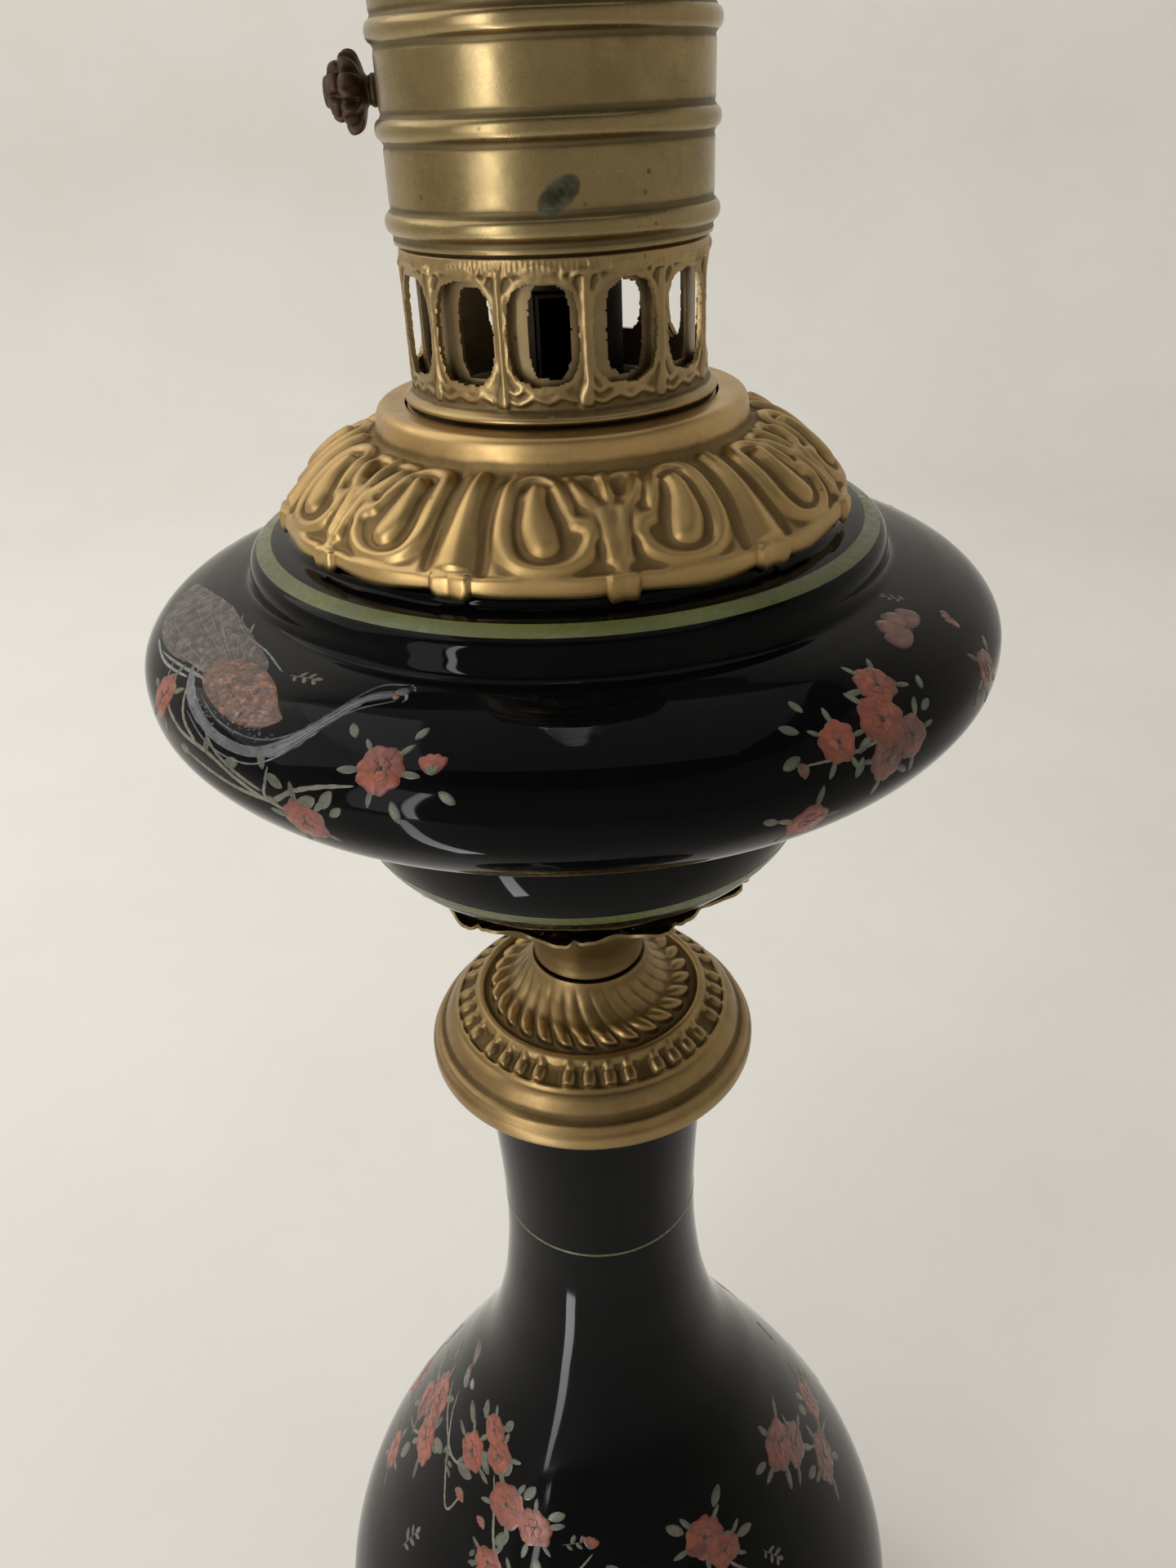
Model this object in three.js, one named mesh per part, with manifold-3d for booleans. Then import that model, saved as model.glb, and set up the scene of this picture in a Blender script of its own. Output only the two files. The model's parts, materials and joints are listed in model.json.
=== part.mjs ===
// A tall table oil lamp: a black glass vase on a pressed brass foot, a black glass font above it,
// and a lift-out brass oil pot that carries a round-wick burner, its sleeve and a glass chimney.
// Millimetres, +Z up, origin at the centre of the foot where it stands. The front is -Y.

import * as THREE from "three";
import { mergeVertices } from "three/addons/utils/BufferGeometryUtils.js";
import Module from "manifold-3d";

const wasm = await Module();
wasm.setup();

// ---------- Driving dimensions ----------

const BIG_SEGMENTS = 32; // round the large shells
const SMALL_SEGMENTS = 24; // round the burner, the pot and the chimney
const HIDDEN_SEGMENTS = 16; // round washers and packing rings
const SHEET = 1.2; // pressed brass
const GAP = 0.3; // between pieces that bear on each other
const ROD_RADIUS = 3;

const FOOT_RADIUS = 88;
const FOOT_SEAT_Z = 57.9; // top of the plate that the vase stands on

const VASE_BOTTOM_Z = 60;
const VASE_TOP_Z = 414;
const VASE_RADIUS = 106.8;
const VASE_WALL = 4;
const NECK_RADIUS = 30;
const NECK_RIM_RADIUS = 33.4;

const DISC_RADIUS = 46;
const DISC_BOTTOM_Z = 415.5;
const STEM_RADIUS = 15;
const STEM_BOTTOM_Z = 447.2;

const CUP_RIM_RADIUS = 48;
const CUP_RIM_Z = 488;
const CUP_LEAVES = 12;

const FONT_BOTTOM_Z = 480;
const FONT_RADIUS = 96.5;
const FONT_TOP_Z = 574.4;

const POT_BOTTOM_Z = 496;
const POT_RADIUS = 50;
const MOUTH_RADIUS = 28.6;
const COLLAR_TOP_Z = 596;

const GALLERY_BOTTOM_Z = 597.8;
const GALLERY_TOP_Z = 627.9;
const GALLERY_RADIUS = 30.8;
const BAY_COUNT = 12;
const BAY_PHASE = -5.5; // degrees from the front to the middle of a bay of the gallery
const BAY_WIDTH = 12.6;
const BAY_HEIGHT = 18.2;
const BAY_Z = 614.2;
const BASKET_RADIUS = 27.4;
const BASKET_TOP_Z = 674.1;
const HOLE_PHASE = -3.5; // degrees from the front to the middle of a hole of the basket
const HOLE_WIDTH = 8;
const HOLE_HEIGHT = 16.8;

const SLEEVE_RADIUS = 32.1;
const SLEEVE_TOP_Z = 676;
const BEAD_HEIGHT = 1.2;
const BEAD_HALF = 2.1;
const BEAD_ZS = [632.1, 647.9, 663.6];

const WICK_INNER = 10.3;
const WICK_OUTER = 12.3;
const WICK_TOP_Z = 704;
const WICK_BOTTOM_Z = 520;
const WICK_GAP = 30; // degrees, half of the split that lets air into the middle tube
const TUBE_TOP_Z = 701;

const SPINDLE_Y = 17.6; // behind the wick
const SPINDLE_Z = 654.5;
const SPINDLE_RADIUS = 1.5;
const WHEEL_RADIUS = 5;
const WHEEL_TEETH = 12;
const KNOB_RADIUS = 7.6;
const KNOB_OUTER_X = -45;

const CHIMNEY_BASE_RADIUS = 26.4;
const CHIMNEY_BOTTOM_Z = 676;
const CHIMNEY_TOP_Z = 918;

// ---------- Finishes ----------

const finish = (color, roughness, metalness) =>
  new THREE.MeshStandardMaterial({ color, roughness, metalness });

const agedBrass = finish(0x8a7448, 0.42, 1);
const darkBrass = finish(0x5b4a30, 0.5, 1);
const tinnedBrass = finish(0x9a9078, 0.45, 1);
const blackGlass = finish(0x0b0b0c, 0.08, 0);
const clearGlass = finish(0xdfe8e6, 0.03, 0);
const castIron = finish(0x2b2a29, 0.8, 0.9);
const steel = finish(0x77736c, 0.45, 1);
const cork = finish(0x9b7248, 0.9, 0);
const cotton = finish(0xd8cfba, 0.95, 0);

// ---------- Geometry helpers ----------

const degrees = (angle) => (angle * Math.PI) / 180;

// A point at a radius and an angle from the front, positive towards +X.
const around = (radius, angle) =>
  new THREE.Vector2(radius * Math.sin(degrees(angle)), -radius * Math.cos(degrees(angle)));

// Points along a smooth curve through [r, z] pairs.
function smooth(pairs, steps) {
  const curve = new THREE.SplineCurve(pairs.map(([r, z]) => new THREE.Vector2(r, z)));
  return curve.getPoints(steps).map((p) => [p.x, p.y]);
}

// A solid of revolution about Z. The outline is a closed loop of [r, z] pairs, anticlockwise as
// seen with r to the right and z up. shape may bend it: it takes (r, z, angle) and gives [r, z].
function turned(outline, segments, shape = null) {
  const points = outline.map(([r, z]) => new THREE.Vector2(r, z));
  points.push(points[0].clone());
  const geometry = new THREE.LatheGeometry(points, segments);
  geometry.rotateX(Math.PI / 2);
  if (shape) {
    const position = geometry.attributes.position;
    for (let i = 0; i < position.count; i++) {
      const x = position.getX(i);
      const y = position.getY(i);
      const radius = Math.hypot(x, y);
      const angle = Math.round((Math.atan2(x, -y) * segments) / (2 * Math.PI));
      const turn = (angle * 2 * Math.PI) / segments;
      const [r, z] = shape(radius, position.getZ(i), turn);
      position.setXYZ(i, r * Math.sin(turn), -r * Math.cos(turn), z);
    }
  }
  return geometry;
}

// A thin sheet turned about Z: the outer line of [r, z] pairs runs upwards, and the inner line is
// the same line moved inwards by the sheet's thickness.
function sheetOutline(outer, thickness) {
  const inner = outer.map(([r, z], i) => {
    const before = outer[Math.max(i - 1, 0)];
    const after = outer[Math.min(i + 1, outer.length - 1)];
    const along = new THREE.Vector2(after[0] - before[0], after[1] - before[1]).normalize();
    return [r - along.y * thickness, z + along.x * thickness];
  });
  return [...outer, ...inner.reverse()];
}

// A plain ring or tube about Z.
const ring = (inner, outer, low, high, segments = HIDDEN_SEGMENTS) =>
  turned([[inner, low], [outer, low], [outer, high], [inner, high]], segments);

// A solid cylinder along X, centred on y and z.
function barAlongX(radius, fromX, toX, y, z, sides = 16) {
  const geometry = new THREE.CylinderGeometry(radius, radius, toX - fromX, sides);
  geometry.rotateZ(Math.PI / 2);
  return geometry.translate((fromX + toX) / 2, y, z);
}

// A box given by its low and high corners.
function block(low, high) {
  const size = low.map((value, i) => high[i] - value);
  const middle = low.map((value, i) => (high[i] + value) / 2);
  return new THREE.BoxGeometry(...size).translate(...middle);
}

// A six-sided nut about Z.
function hexNut(bore, acrossFlats, low, high) {
  const outline = new THREE.Shape();
  const corner = acrossFlats / 2 / Math.cos(degrees(30));
  for (let i = 0; i < 6; i++) {
    const p = around(corner, i * 60);
    i ? outline.lineTo(p.x, p.y) : outline.moveTo(p.x, p.y);
  }
  outline.closePath();
  outline.holes.push(new THREE.Path().absarc(0, 0, bore, 0, 2 * Math.PI, true));
  const options = { depth: high - low, bevelEnabled: false, curveSegments: 12 };
  return new THREE.ExtrudeGeometry(outline, options).translate(0, 0, low);
}

function toManifold(geometry) {
  const bare = geometry.clone();
  bare.deleteAttribute("normal");
  bare.deleteAttribute("uv");
  const merged = mergeVertices(bare, 1e-4);
  const triVerts = new Uint32Array(merged.index.array);
  const vertProperties = new Float32Array(merged.attributes.position.array);
  return new wasm.Manifold(new wasm.Mesh({ numProp: 3, vertProperties, triVerts }));
}

function toGeometry(solid) {
  const mesh = solid.getMesh();
  const geometry = new THREE.BufferGeometry();
  geometry.setAttribute("position", new THREE.BufferAttribute(mesh.vertProperties, 3));
  geometry.setIndex(new THREE.BufferAttribute(mesh.triVerts, 1));
  geometry.computeVertexNormals();
  return geometry;
}

// The first geometry joined with some pieces, and then cut by others.
function built(first, { add = [], cut = [] }) {
  let solid = toManifold(first);
  for (const piece of add) solid = solid.add(toManifold(piece));
  for (const piece of cut) solid = solid.subtract(toManifold(piece));
  return toGeometry(solid);
}

const lamp = new THREE.Group();

function piece(group, name, geometry, material) {
  const mesh = new THREE.Mesh(geometry, material);
  mesh.name = name;
  group.add(mesh);
}

function subGroup(parent, name) {
  const group = new THREE.Group();
  group.name = name;
  parent.add(group);
  return group;
}

// ---------- Foot and clamping rod ----------

const stand = subGroup(lamp, "stand_group");

function footGeometry() {
  const rolledEdge = [[FOOT_RADIUS - 4, 0], [FOOT_RADIUS, 0], [FOOT_RADIUS, 4], [FOOT_RADIUS - 3, 7]];
  const dome = smooth([[80, 10], [76, 19], [65, 28], [50, 33]], 4);
  const waist = smooth([[46, 37], [40.5, 44], [46, 52], [58.5, 60]], 5);
  const seat = [[57, 60.6], [49.5, FOOT_SEAT_Z], [6, FOOT_SEAT_Z], [6, FOOT_SEAT_Z - SHEET]];
  const underWaist = [[47.5, FOOT_SEAT_Z - SHEET], [39, 47], [39, 43], [44, 36]];
  const underDome = [[48.5, 31.5], [64, 26.4], [74.4, 18], [78.6, 8.6], [FOOT_RADIUS - 4, 4.5]];
  return turned([...rolledEdge, ...dome, ...waist, ...seat, ...underWaist, ...underDome], BIG_SEGMENTS);
}

const weightOutline = [[4, 14.3], [58, 14.3], [62, 18], [60, 22], [44, 26], [4, 26]];
piece(stand, "base_foot", footGeometry(), agedBrass);
piece(stand, "base_weight", turned(weightOutline, SMALL_SEGMENTS), castIron);
piece(stand, "base_washer", ring(ROD_RADIUS + GAP, 12, 12.3, 14), steel);
piece(stand, "base_nut", hexNut(ROD_RADIUS + GAP, 12, 6.5, 12), steel);
piece(stand, "tie_rod", turned([[0, 4], [ROD_RADIUS, 4], [ROD_RADIUS, 492.5], [0, 492.5]], 12), steel);

// ---------- Vase ----------

function vaseGeometry() {
  const belly = [[50, VASE_BOTTOM_Z], [86, 84], [VASE_RADIUS, 143], [90, 190]];
  const flare = [[62.5, 238], [38, 289], [NECK_RADIUS, 350], [NECK_RIM_RADIUS, VASE_TOP_Z]];
  const outer = smooth([...belly, ...flare], 14);
  const inside = smooth([[NECK_RIM_RADIUS - VASE_WALL, VASE_TOP_Z], [NECK_RADIUS - VASE_WALL, 350],
    [34, 287], [58, 237], [85.5, 190], [VASE_RADIUS - VASE_WALL, 143], [83, 87], [48, 65]], 10);
  return turned([[6, VASE_BOTTOM_Z], ...outer, ...inside, [6, 65]], BIG_SEGMENTS);
}

piece(stand, "vase_cork_ring", ring(26, 48, FOOT_SEAT_Z + GAP, VASE_BOTTOM_Z - GAP), cork);
piece(stand, "vase", vaseGeometry(), blackGlass);

// ---------- Brass disc on the vase's neck ----------

function discGeometry() {
  const band = [[44.8, DISC_BOTTOM_Z], [DISC_RADIUS, DISC_BOTTOM_Z + 0.5], [DISC_RADIUS, 420], [44.5, 422.9]];
  const moulding = [[42.4, 424.1], [39.5, 428.8], [35.7, 432], [31, 434.9], [27.6, 434.2]];
  const neck = [[22, 437.5], [18, 441.5], [STEM_RADIUS + 0.6, STEM_BOTTOM_Z - 1]];
  const outer = [...band, ...moulding, ...neck];
  return turned(sheetOutline(outer, SHEET), BIG_SEGMENTS);
}

piece(stand, "neck_cork_ring", ring(24, 33, VASE_TOP_Z + GAP, 416), cork);
piece(stand, "neck_plate", ring(ROD_RADIUS + GAP, 43.2, 416.3, 418, BIG_SEGMENTS), steel);
piece(stand, "neck_disc", discGeometry(), agedBrass);
piece(stand, "spacer_tube", ring(6, 9, 418.3, 470), tinnedBrass);

// ---------- Ruffled leaf cup and font seat ----------

function cupGeometry() {
  const stem = [[STEM_RADIUS, STEM_BOTTOM_Z], [15.5, 450], [18, 457]];
  const bowl = [[24, 466], [32, 474.5], [40, 481.5], [CUP_RIM_RADIUS, CUP_RIM_Z]];
  const ruffle = (r, z, angle) => {
    const rise = Math.max(0, (r - 34) / (CUP_RIM_RADIUS - 34));
    const wave = Math.cos(CUP_LEAVES * angle);
    return [r + 2.2 * wave * rise * rise, z - 1.2 * (1 + wave) * rise * rise];
  };
  return turned(sheetOutline([...stem, ...bowl], 1), CUP_LEAVES * 4, ruffle);
}

const rodHole = ROD_RADIUS + GAP;
const seatOutline = [[rodHole, 470.3], [22, 470.3], [25.5, 473.2], [25.5, 477], [rodHole, 477]];
piece(stand, "leaf_cup", cupGeometry(), agedBrass);
piece(stand, "font_seat", turned(seatOutline, SMALL_SEGMENTS), tinnedBrass);
piece(stand, "font_cork_ring", ring(9, 24, 477.3, FONT_BOTTOM_Z - GAP), cork);

// ---------- Font ----------

function fontGeometry() {
  const bowl = smooth([[26, FONT_BOTTOM_Z], [38, 483.5], [52, 496], [58.5, 507], [60.3, 519]], 5);
  const underside = [[61.5, 521], [81, 528.5], [93, 537]];
  const belly = smooth([...underside, [FONT_RADIUS, 547], [90, 557.5], [76, 562.5]], 7);
  const step = [[69.5, 563.6], [68.4, 566.6], [66.2, 568.6], [63.6, 570.7], [61.2, 571.8]];
  const rim = [[60.6, FONT_TOP_Z], [58.6, FONT_TOP_Z]];
  const throat = [[58.6, 566], [64.5, 560.5]];
  const innerBelly = smooth([[76, 557.5], [88, 552.5], [92, 546], [88, 539.5], [77, 532], [57.5, 524.5]], 4);
  const innerBowl = [[56, 517], [52, 503.5], [38, 488.4], [26, 484.5], [6, 484.5], [6, FONT_BOTTOM_Z]];
  return turned([...bowl, ...belly, ...step, ...rim, ...throat, ...innerBelly, ...innerBowl], BIG_SEGMENTS);
}

piece(stand, "font", fontGeometry(), blackGlass);
piece(stand, "top_washer", ring(ROD_RADIUS + GAP, 14, 484.8, 486.2), steel);
piece(stand, "top_nut", hexNut(ROD_RADIUS + GAP, 12, 486.5, 491.5), steel);

// ---------- Oil pot with its shoulder cap ----------

const reservoir = subGroup(lamp, "reservoir_group");

function potGeometry() {
  const outer = [[0, POT_BOTTOM_Z], [34, POT_BOTTOM_Z], [POT_RADIUS, 514], [POT_RADIUS, FONT_TOP_Z + GAP]];
  const flange = [[59.3, FONT_TOP_Z + GAP], [59.3, 576], [52, 576]];
  const top = [[34, 587.4], [MOUTH_RADIUS, 587.4], [MOUTH_RADIUS, 586.2], [33, 586.2], [49, 575.6]];
  const inside = [[49, 514.4], [33.4, POT_BOTTOM_Z + 1], [0, POT_BOTTOM_Z + 1]];
  return turned([...outer, ...flange, ...top, ...inside], SMALL_SEGMENTS);
}

// The cap's top band, its domed skirt and its upright edge.
function shoulderGeometry() {
  const edge = [[61.3, 575.2], [61.5, 577]];
  const skirt = smooth([[59.5, 579], [54.3, 584.6], [48, 589.4], [40.5, 591.6]], 4);
  const band = [[39.6, 595.5], [38, 597.6], [35.6, 598]];
  return turned(sheetOutline([...edge, ...skirt, ...band], 1), BIG_SEGMENTS);
}

piece(reservoir, "oil_pot", potGeometry(), tinnedBrass);
piece(reservoir, "shoulder_cap", shoulderGeometry(), agedBrass);
piece(reservoir, "burner_collar", ring(MOUTH_RADIUS, 33, 587.7, COLLAR_TOP_Z, SMALL_SEGMENTS), agedBrass);

// ---------- Burner head ----------

const burner = subGroup(lamp, "burner_group");

const tubeHole = WICK_OUTER + 1.5;
const baseOutline = [
  [tubeHole, 590], [28.2, 590], [28.2, COLLAR_TOP_Z + GAP], [33, COLLAR_TOP_Z + GAP],
  [33, 597.4], [24.6, 597.4], [24.6, 591.4], [tubeHole, 591.4],
];
piece(burner, "burner_base", turned(baseOutline, SMALL_SEGMENTS), tinnedBrass);

// Oval prisms, one for each bay, that pierce a wall whose outer radius is given.
function ovalCutters(radius, width, height, phase) {
  const shape = new THREE.Shape().absellipse(0, 0, width / 2, height / 2, 0, 2 * Math.PI);
  const options = { depth: 6, bevelEnabled: false, curveSegments: 6 };
  const cutters = [];
  for (let i = 0; i < BAY_COUNT; i++) {
    const cutter = new THREE.ExtrudeGeometry(shape, options);
    cutter.rotateX(Math.PI / 2);
    cutter.translate(0, 5 - radius, BAY_Z);
    cutters.push(cutter.rotateZ(degrees(phase + (i * 360) / BAY_COUNT)));
  }
  return cutters;
}

function galleryGeometry() {
  const rolled = [[31.2, GALLERY_BOTTOM_Z], [31.7, 598.6], [31.2, 600.2]];
  const wall = [[GALLERY_RADIUS, 601.5], [GALLERY_RADIUS, 625], [31.3, 626.6], [31.3, GALLERY_TOP_Z]];
  const spigot = [[30.6, GALLERY_TOP_Z], [30.6, 631.5], [29.8, 631.5], [29.8, GALLERY_BOTTOM_Z]];
  const cut = ovalCutters(GALLERY_RADIUS, BAY_WIDTH, BAY_HEIGHT, BAY_PHASE);
  return built(turned([...rolled, ...wall, ...spigot], SMALL_SEGMENTS), { cut });
}

// The burner's own pierced tube, inside the gallery and the sleeve.
function basketGeometry() {
  const inner = BASKET_RADIUS - 0.8;
  const tube = ring(inner, BASKET_RADIUS, GALLERY_BOTTOM_Z, BASKET_TOP_Z, SMALL_SEGMENTS);
  const cut = ovalCutters(BASKET_RADIUS, HOLE_WIDTH, HOLE_HEIGHT, HOLE_PHASE);
  cut.push(barAlongX(2.2, -40, 0, SPINDLE_Y, SPINDLE_Z));
  return built(tube, { cut });
}

function sleeveGeometry() {
  const outer = [[SLEEVE_RADIUS, GALLERY_TOP_Z + GAP]];
  for (const z of BEAD_ZS) {
    outer.push([SLEEVE_RADIUS, z - BEAD_HALF]);
    outer.push([SLEEVE_RADIUS + BEAD_HEIGHT, z]);
    outer.push([SLEEVE_RADIUS, z + BEAD_HALF]);
  }
  outer.push([SLEEVE_RADIUS, SLEEVE_TOP_Z]);
  const inner = [[SLEEVE_RADIUS - 1, SLEEVE_TOP_Z], [SLEEVE_RADIUS - 1, GALLERY_TOP_Z + GAP]];
  const cut = [barAlongX(3, -40, 0, SPINDLE_Y, SPINDLE_Z)];
  return built(turned([...outer, ...inner], SMALL_SEGMENTS), { cut });
}

piece(burner, "gallery_ring", galleryGeometry(), agedBrass);
piece(burner, "upper_sleeve", sleeveGeometry(), agedBrass);
piece(burner, "burner_basket", basketGeometry(), tinnedBrass);

// The outer wick tube is open at the back for the feed wheels, and at the front for the air duct.
const ductHalfWidth = 4.4;
const duct = { low: 602, high: 619 };

function outerTubeGeometry() {
  const tube = ring(WICK_OUTER + 0.3, WICK_OUTER + 1.1, 584, TUBE_TOP_Z, SMALL_SEGMENTS);
  const wheelSlot = block([-6.2, 8, SPINDLE_Z - 5.5], [6.2, 16, SPINDLE_Z + 5.5]);
  const ductSlot = block(
    [-ductHalfWidth - GAP, -16, duct.low - GAP],
    [ductHalfWidth + GAP, -8, duct.high + GAP],
  );
  return built(tube, { cut: [wheelSlot, ductSlot] });
}

// The middle tube takes air in through a short duct that crosses the split in the wick.
function airTubeGeometry() {
  const outerRadius = WICK_INNER - 0.3;
  const outline = [
    [0, 600], [outerRadius, 600], [outerRadius, TUBE_TOP_Z + 1],
    [outerRadius - 0.8, TUBE_TOP_Z + 1], [outerRadius - 0.8, 600.8], [0, 600.8],
  ];
  const walls = block([-ductHalfWidth, -14.4, duct.low], [ductHalfWidth, -9, duct.high]);
  const passage = block(
    [-ductHalfWidth + 0.7, -16, duct.low + 0.7],
    [ductHalfWidth - 0.7, -7, duct.high - 0.7],
  );
  return built(turned(outline, SMALL_SEGMENTS), { add: [walls], cut: [passage] });
}

piece(burner, "outer_wick_tube", outerTubeGeometry(), tinnedBrass);
piece(burner, "inner_air_tube", airTubeGeometry(), tinnedBrass);

// The wheel box stands on the back of the wick tube and holds the spindle in its two cheeks.
function wheelBoxGeometry() {
  const half = 9;
  const box = block([-half, 10, SPINDLE_Z - 7], [half, SPINDLE_Y + 6.5, SPINDLE_Z + 7]);
  const cut = [
    block([1 - half, 0, SPINDLE_Z - 6], [half - 1, SPINDLE_Y + 5.5, SPINDLE_Z + 6]),
    barAlongX(SPINDLE_RADIUS + GAP, -half - 1, half + 1, SPINDLE_Y, SPINDLE_Z),
    ring(0, WICK_OUTER + 1.5, SPINDLE_Z - 10, SPINDLE_Z + 10, SMALL_SEGMENTS),
  ];
  return built(box, { cut });
}

function bushGeometry() {
  const flange = barAlongX(4.2, -32, -29.9, SPINDLE_Y, SPINDLE_Z);
  const shank = barAlongX(2.6, -31, -24, SPINDLE_Y, SPINDLE_Z);
  const bore = barAlongX(SPINDLE_RADIUS + GAP, -40, 0, SPINDLE_Y, SPINDLE_Z);
  return built(flange, { add: [shank], cut: [bore] });
}

piece(burner, "wheel_box", wheelBoxGeometry(), tinnedBrass);
piece(burner, "spindle_bush", bushGeometry(), darkBrass);

// The crown rests on the sleeve's top edge, and its springy fingers grip the chimney.
function crownGeometry() {
  const outline = [
    [22.5, 674.4], [28.7, 674.4], [28.7, SLEEVE_TOP_Z + GAP], [33.6, SLEEVE_TOP_Z + GAP],
    [33.6, 677.6], [28.7, 677.6], [28.4, 690], [29.4, 694], [28.5, 694], [27.4, 690],
    [27.4, 675.6], [22.5, 675.6],
  ];
  const slots = [];
  for (let i = 0; i < 6; i++) {
    const slot = block([-32, -0.9, 679.5], [32, 0.9, 696]);
    slots.push(slot.rotateZ(degrees(15 + i * 30)));
  }
  return built(turned(outline, SMALL_SEGMENTS), { cut: slots });
}

piece(burner, "chimney_crown", crownGeometry(), agedBrass);

// ---------- Wick key ----------

const key = subGroup(burner, "wick_key_group");

function wheelGeometry(middleX) {
  const outline = new THREE.Shape();
  const steps = WHEEL_TEETH * 2;
  for (let i = 0; i < steps; i++) {
    const p = around(i % 2 ? WHEEL_RADIUS : WHEEL_RADIUS - 1, (i * 360) / steps);
    i ? outline.lineTo(p.x, p.y) : outline.moveTo(p.x, p.y);
  }
  outline.closePath();
  outline.holes.push(new THREE.Path().absarc(0, 0, SPINDLE_RADIUS + GAP, 0, 2 * Math.PI, true));
  const wheel = new THREE.ExtrudeGeometry(outline, { depth: 3, bevelEnabled: false, curveSegments: 8 });
  wheel.rotateY(Math.PI / 2);
  return wheel.translate(middleX - 1.5, SPINDLE_Y, SPINDLE_Z);
}

// A cast rosette: eight lobes round a hub, domed at its outer face.
function knobGeometry() {
  const petals = new THREE.Shape();
  const lobes = 8;
  const steps = lobes * 4;
  for (let i = 0; i < steps; i++) {
    const scallop = 0.7 * (1 - Math.cos((i * lobes * 2 * Math.PI) / steps));
    const p = around(KNOB_RADIUS - scallop, (i * 360) / steps);
    i ? petals.lineTo(p.x, p.y) : petals.moveTo(p.x, p.y);
  }
  petals.closePath();
  const rosette = new THREE.ExtrudeGeometry(petals, { depth: 5, bevelEnabled: false });
  rosette.rotateY(-Math.PI / 2);
  rosette.translate(KNOB_OUTER_X + 7.2, SPINDLE_Y, SPINDLE_Z);
  const face = barAlongX(5, KNOB_OUTER_X, KNOB_OUTER_X + 4, SPINDLE_Y, SPINDLE_Z);
  const hub = barAlongX(3.2, KNOB_OUTER_X + 5, -33.4, SPINDLE_Y, SPINDLE_Z);
  const socket = barAlongX(SPINDLE_RADIUS + GAP, KNOB_OUTER_X + 4.7, -30, SPINDLE_Y, SPINDLE_Z);
  return built(rosette, { add: [face, hub], cut: [socket] });
}

piece(key, "key_spindle", barAlongX(SPINDLE_RADIUS, KNOB_OUTER_X + 5, 12, SPINDLE_Y, SPINDLE_Z), steel);
piece(key, "key_knob", knobGeometry(), darkBrass);
piece(key, "wick_wheel_left", wheelGeometry(-3.6), steel);
piece(key, "wick_wheel_right", wheelGeometry(3.6), steel);

// ---------- Wick ----------

const wick = subGroup(burner, "wick_group");

function wickGeometry() {
  const outline = new THREE.Shape();
  const from = -Math.PI / 2 + degrees(WICK_GAP);
  const to = (3 * Math.PI) / 2 - degrees(WICK_GAP);
  outline.absarc(0, 0, WICK_OUTER, from, to, false);
  outline.absarc(0, 0, WICK_INNER, to, from, true);
  outline.closePath();
  const options = { depth: WICK_TOP_Z - WICK_BOTTOM_Z, bevelEnabled: false, curveSegments: 20 };
  return new THREE.ExtrudeGeometry(outline, options).translate(0, 0, WICK_BOTTOM_Z);
}

piece(wick, "wick", wickGeometry(), cotton);

// ---------- Chimney ----------

const chimney = subGroup(burner, "chimney_group");

// A straight foot, a pinched waist just above the wick, and a slowly narrowing shaft.
function chimneyGeometry() {
  const foot = [[CHIMNEY_BASE_RADIUS, CHIMNEY_BOTTOM_Z], [CHIMNEY_BASE_RADIUS, 702]];
  const waist = smooth([[25.2, 708], [19.6, 714], [19.4, 718], [21.6, 728], [21.8, 745]], 6);
  const shaft = smooth([[20.4, 790], [18, 850], [17, CHIMNEY_TOP_Z]], 3);
  return turned(sheetOutline([...foot, ...waist, ...shaft], 1.6), SMALL_SEGMENTS);
}

piece(chimney, "chimney", chimneyGeometry(), clearGlass);

export default lamp;
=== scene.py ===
"""The looks of a tall oil lamp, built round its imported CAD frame.

Outlines are lists of [r, z] in millimetres, measured from a node's own box, and angles are degrees
round +Z from the front (-Y) towards +X. Pressed brass is a shell: an outer surface that follows an
outline, raised by a relief, with the sheet's thickness behind it.
"""

import json
import math

import bmesh
import bpy
import numpy as np
from mathutils import Matrix, Vector

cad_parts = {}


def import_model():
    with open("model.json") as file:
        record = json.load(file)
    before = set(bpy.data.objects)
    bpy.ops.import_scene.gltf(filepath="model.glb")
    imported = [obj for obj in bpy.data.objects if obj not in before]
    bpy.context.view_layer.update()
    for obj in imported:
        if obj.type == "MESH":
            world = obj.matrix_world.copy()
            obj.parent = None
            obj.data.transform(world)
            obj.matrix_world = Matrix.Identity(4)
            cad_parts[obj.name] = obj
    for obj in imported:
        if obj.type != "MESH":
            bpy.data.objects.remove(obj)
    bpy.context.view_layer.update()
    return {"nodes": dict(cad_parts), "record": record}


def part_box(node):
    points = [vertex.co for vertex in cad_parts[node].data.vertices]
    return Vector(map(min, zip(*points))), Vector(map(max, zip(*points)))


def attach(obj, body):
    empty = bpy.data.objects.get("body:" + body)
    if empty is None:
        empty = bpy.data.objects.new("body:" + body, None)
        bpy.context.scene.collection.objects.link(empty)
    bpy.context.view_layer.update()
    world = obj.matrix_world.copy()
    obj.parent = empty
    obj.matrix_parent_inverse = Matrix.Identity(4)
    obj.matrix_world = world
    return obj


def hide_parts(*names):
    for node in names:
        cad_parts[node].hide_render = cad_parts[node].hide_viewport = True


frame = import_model()
NODES = frame["nodes"]
BODY = {n: b for b, names in frame["record"]["behaviour"]["bodies"].items() for n in names}
MM = 0.001
TURN = 2 * math.pi


# ---------- Small mathematics ----------


def low(node):
    """The lowest z of a CAD node, in millimetres."""
    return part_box(node)[0].z / MM


def high(node):
    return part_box(node)[1].z / MM


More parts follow.
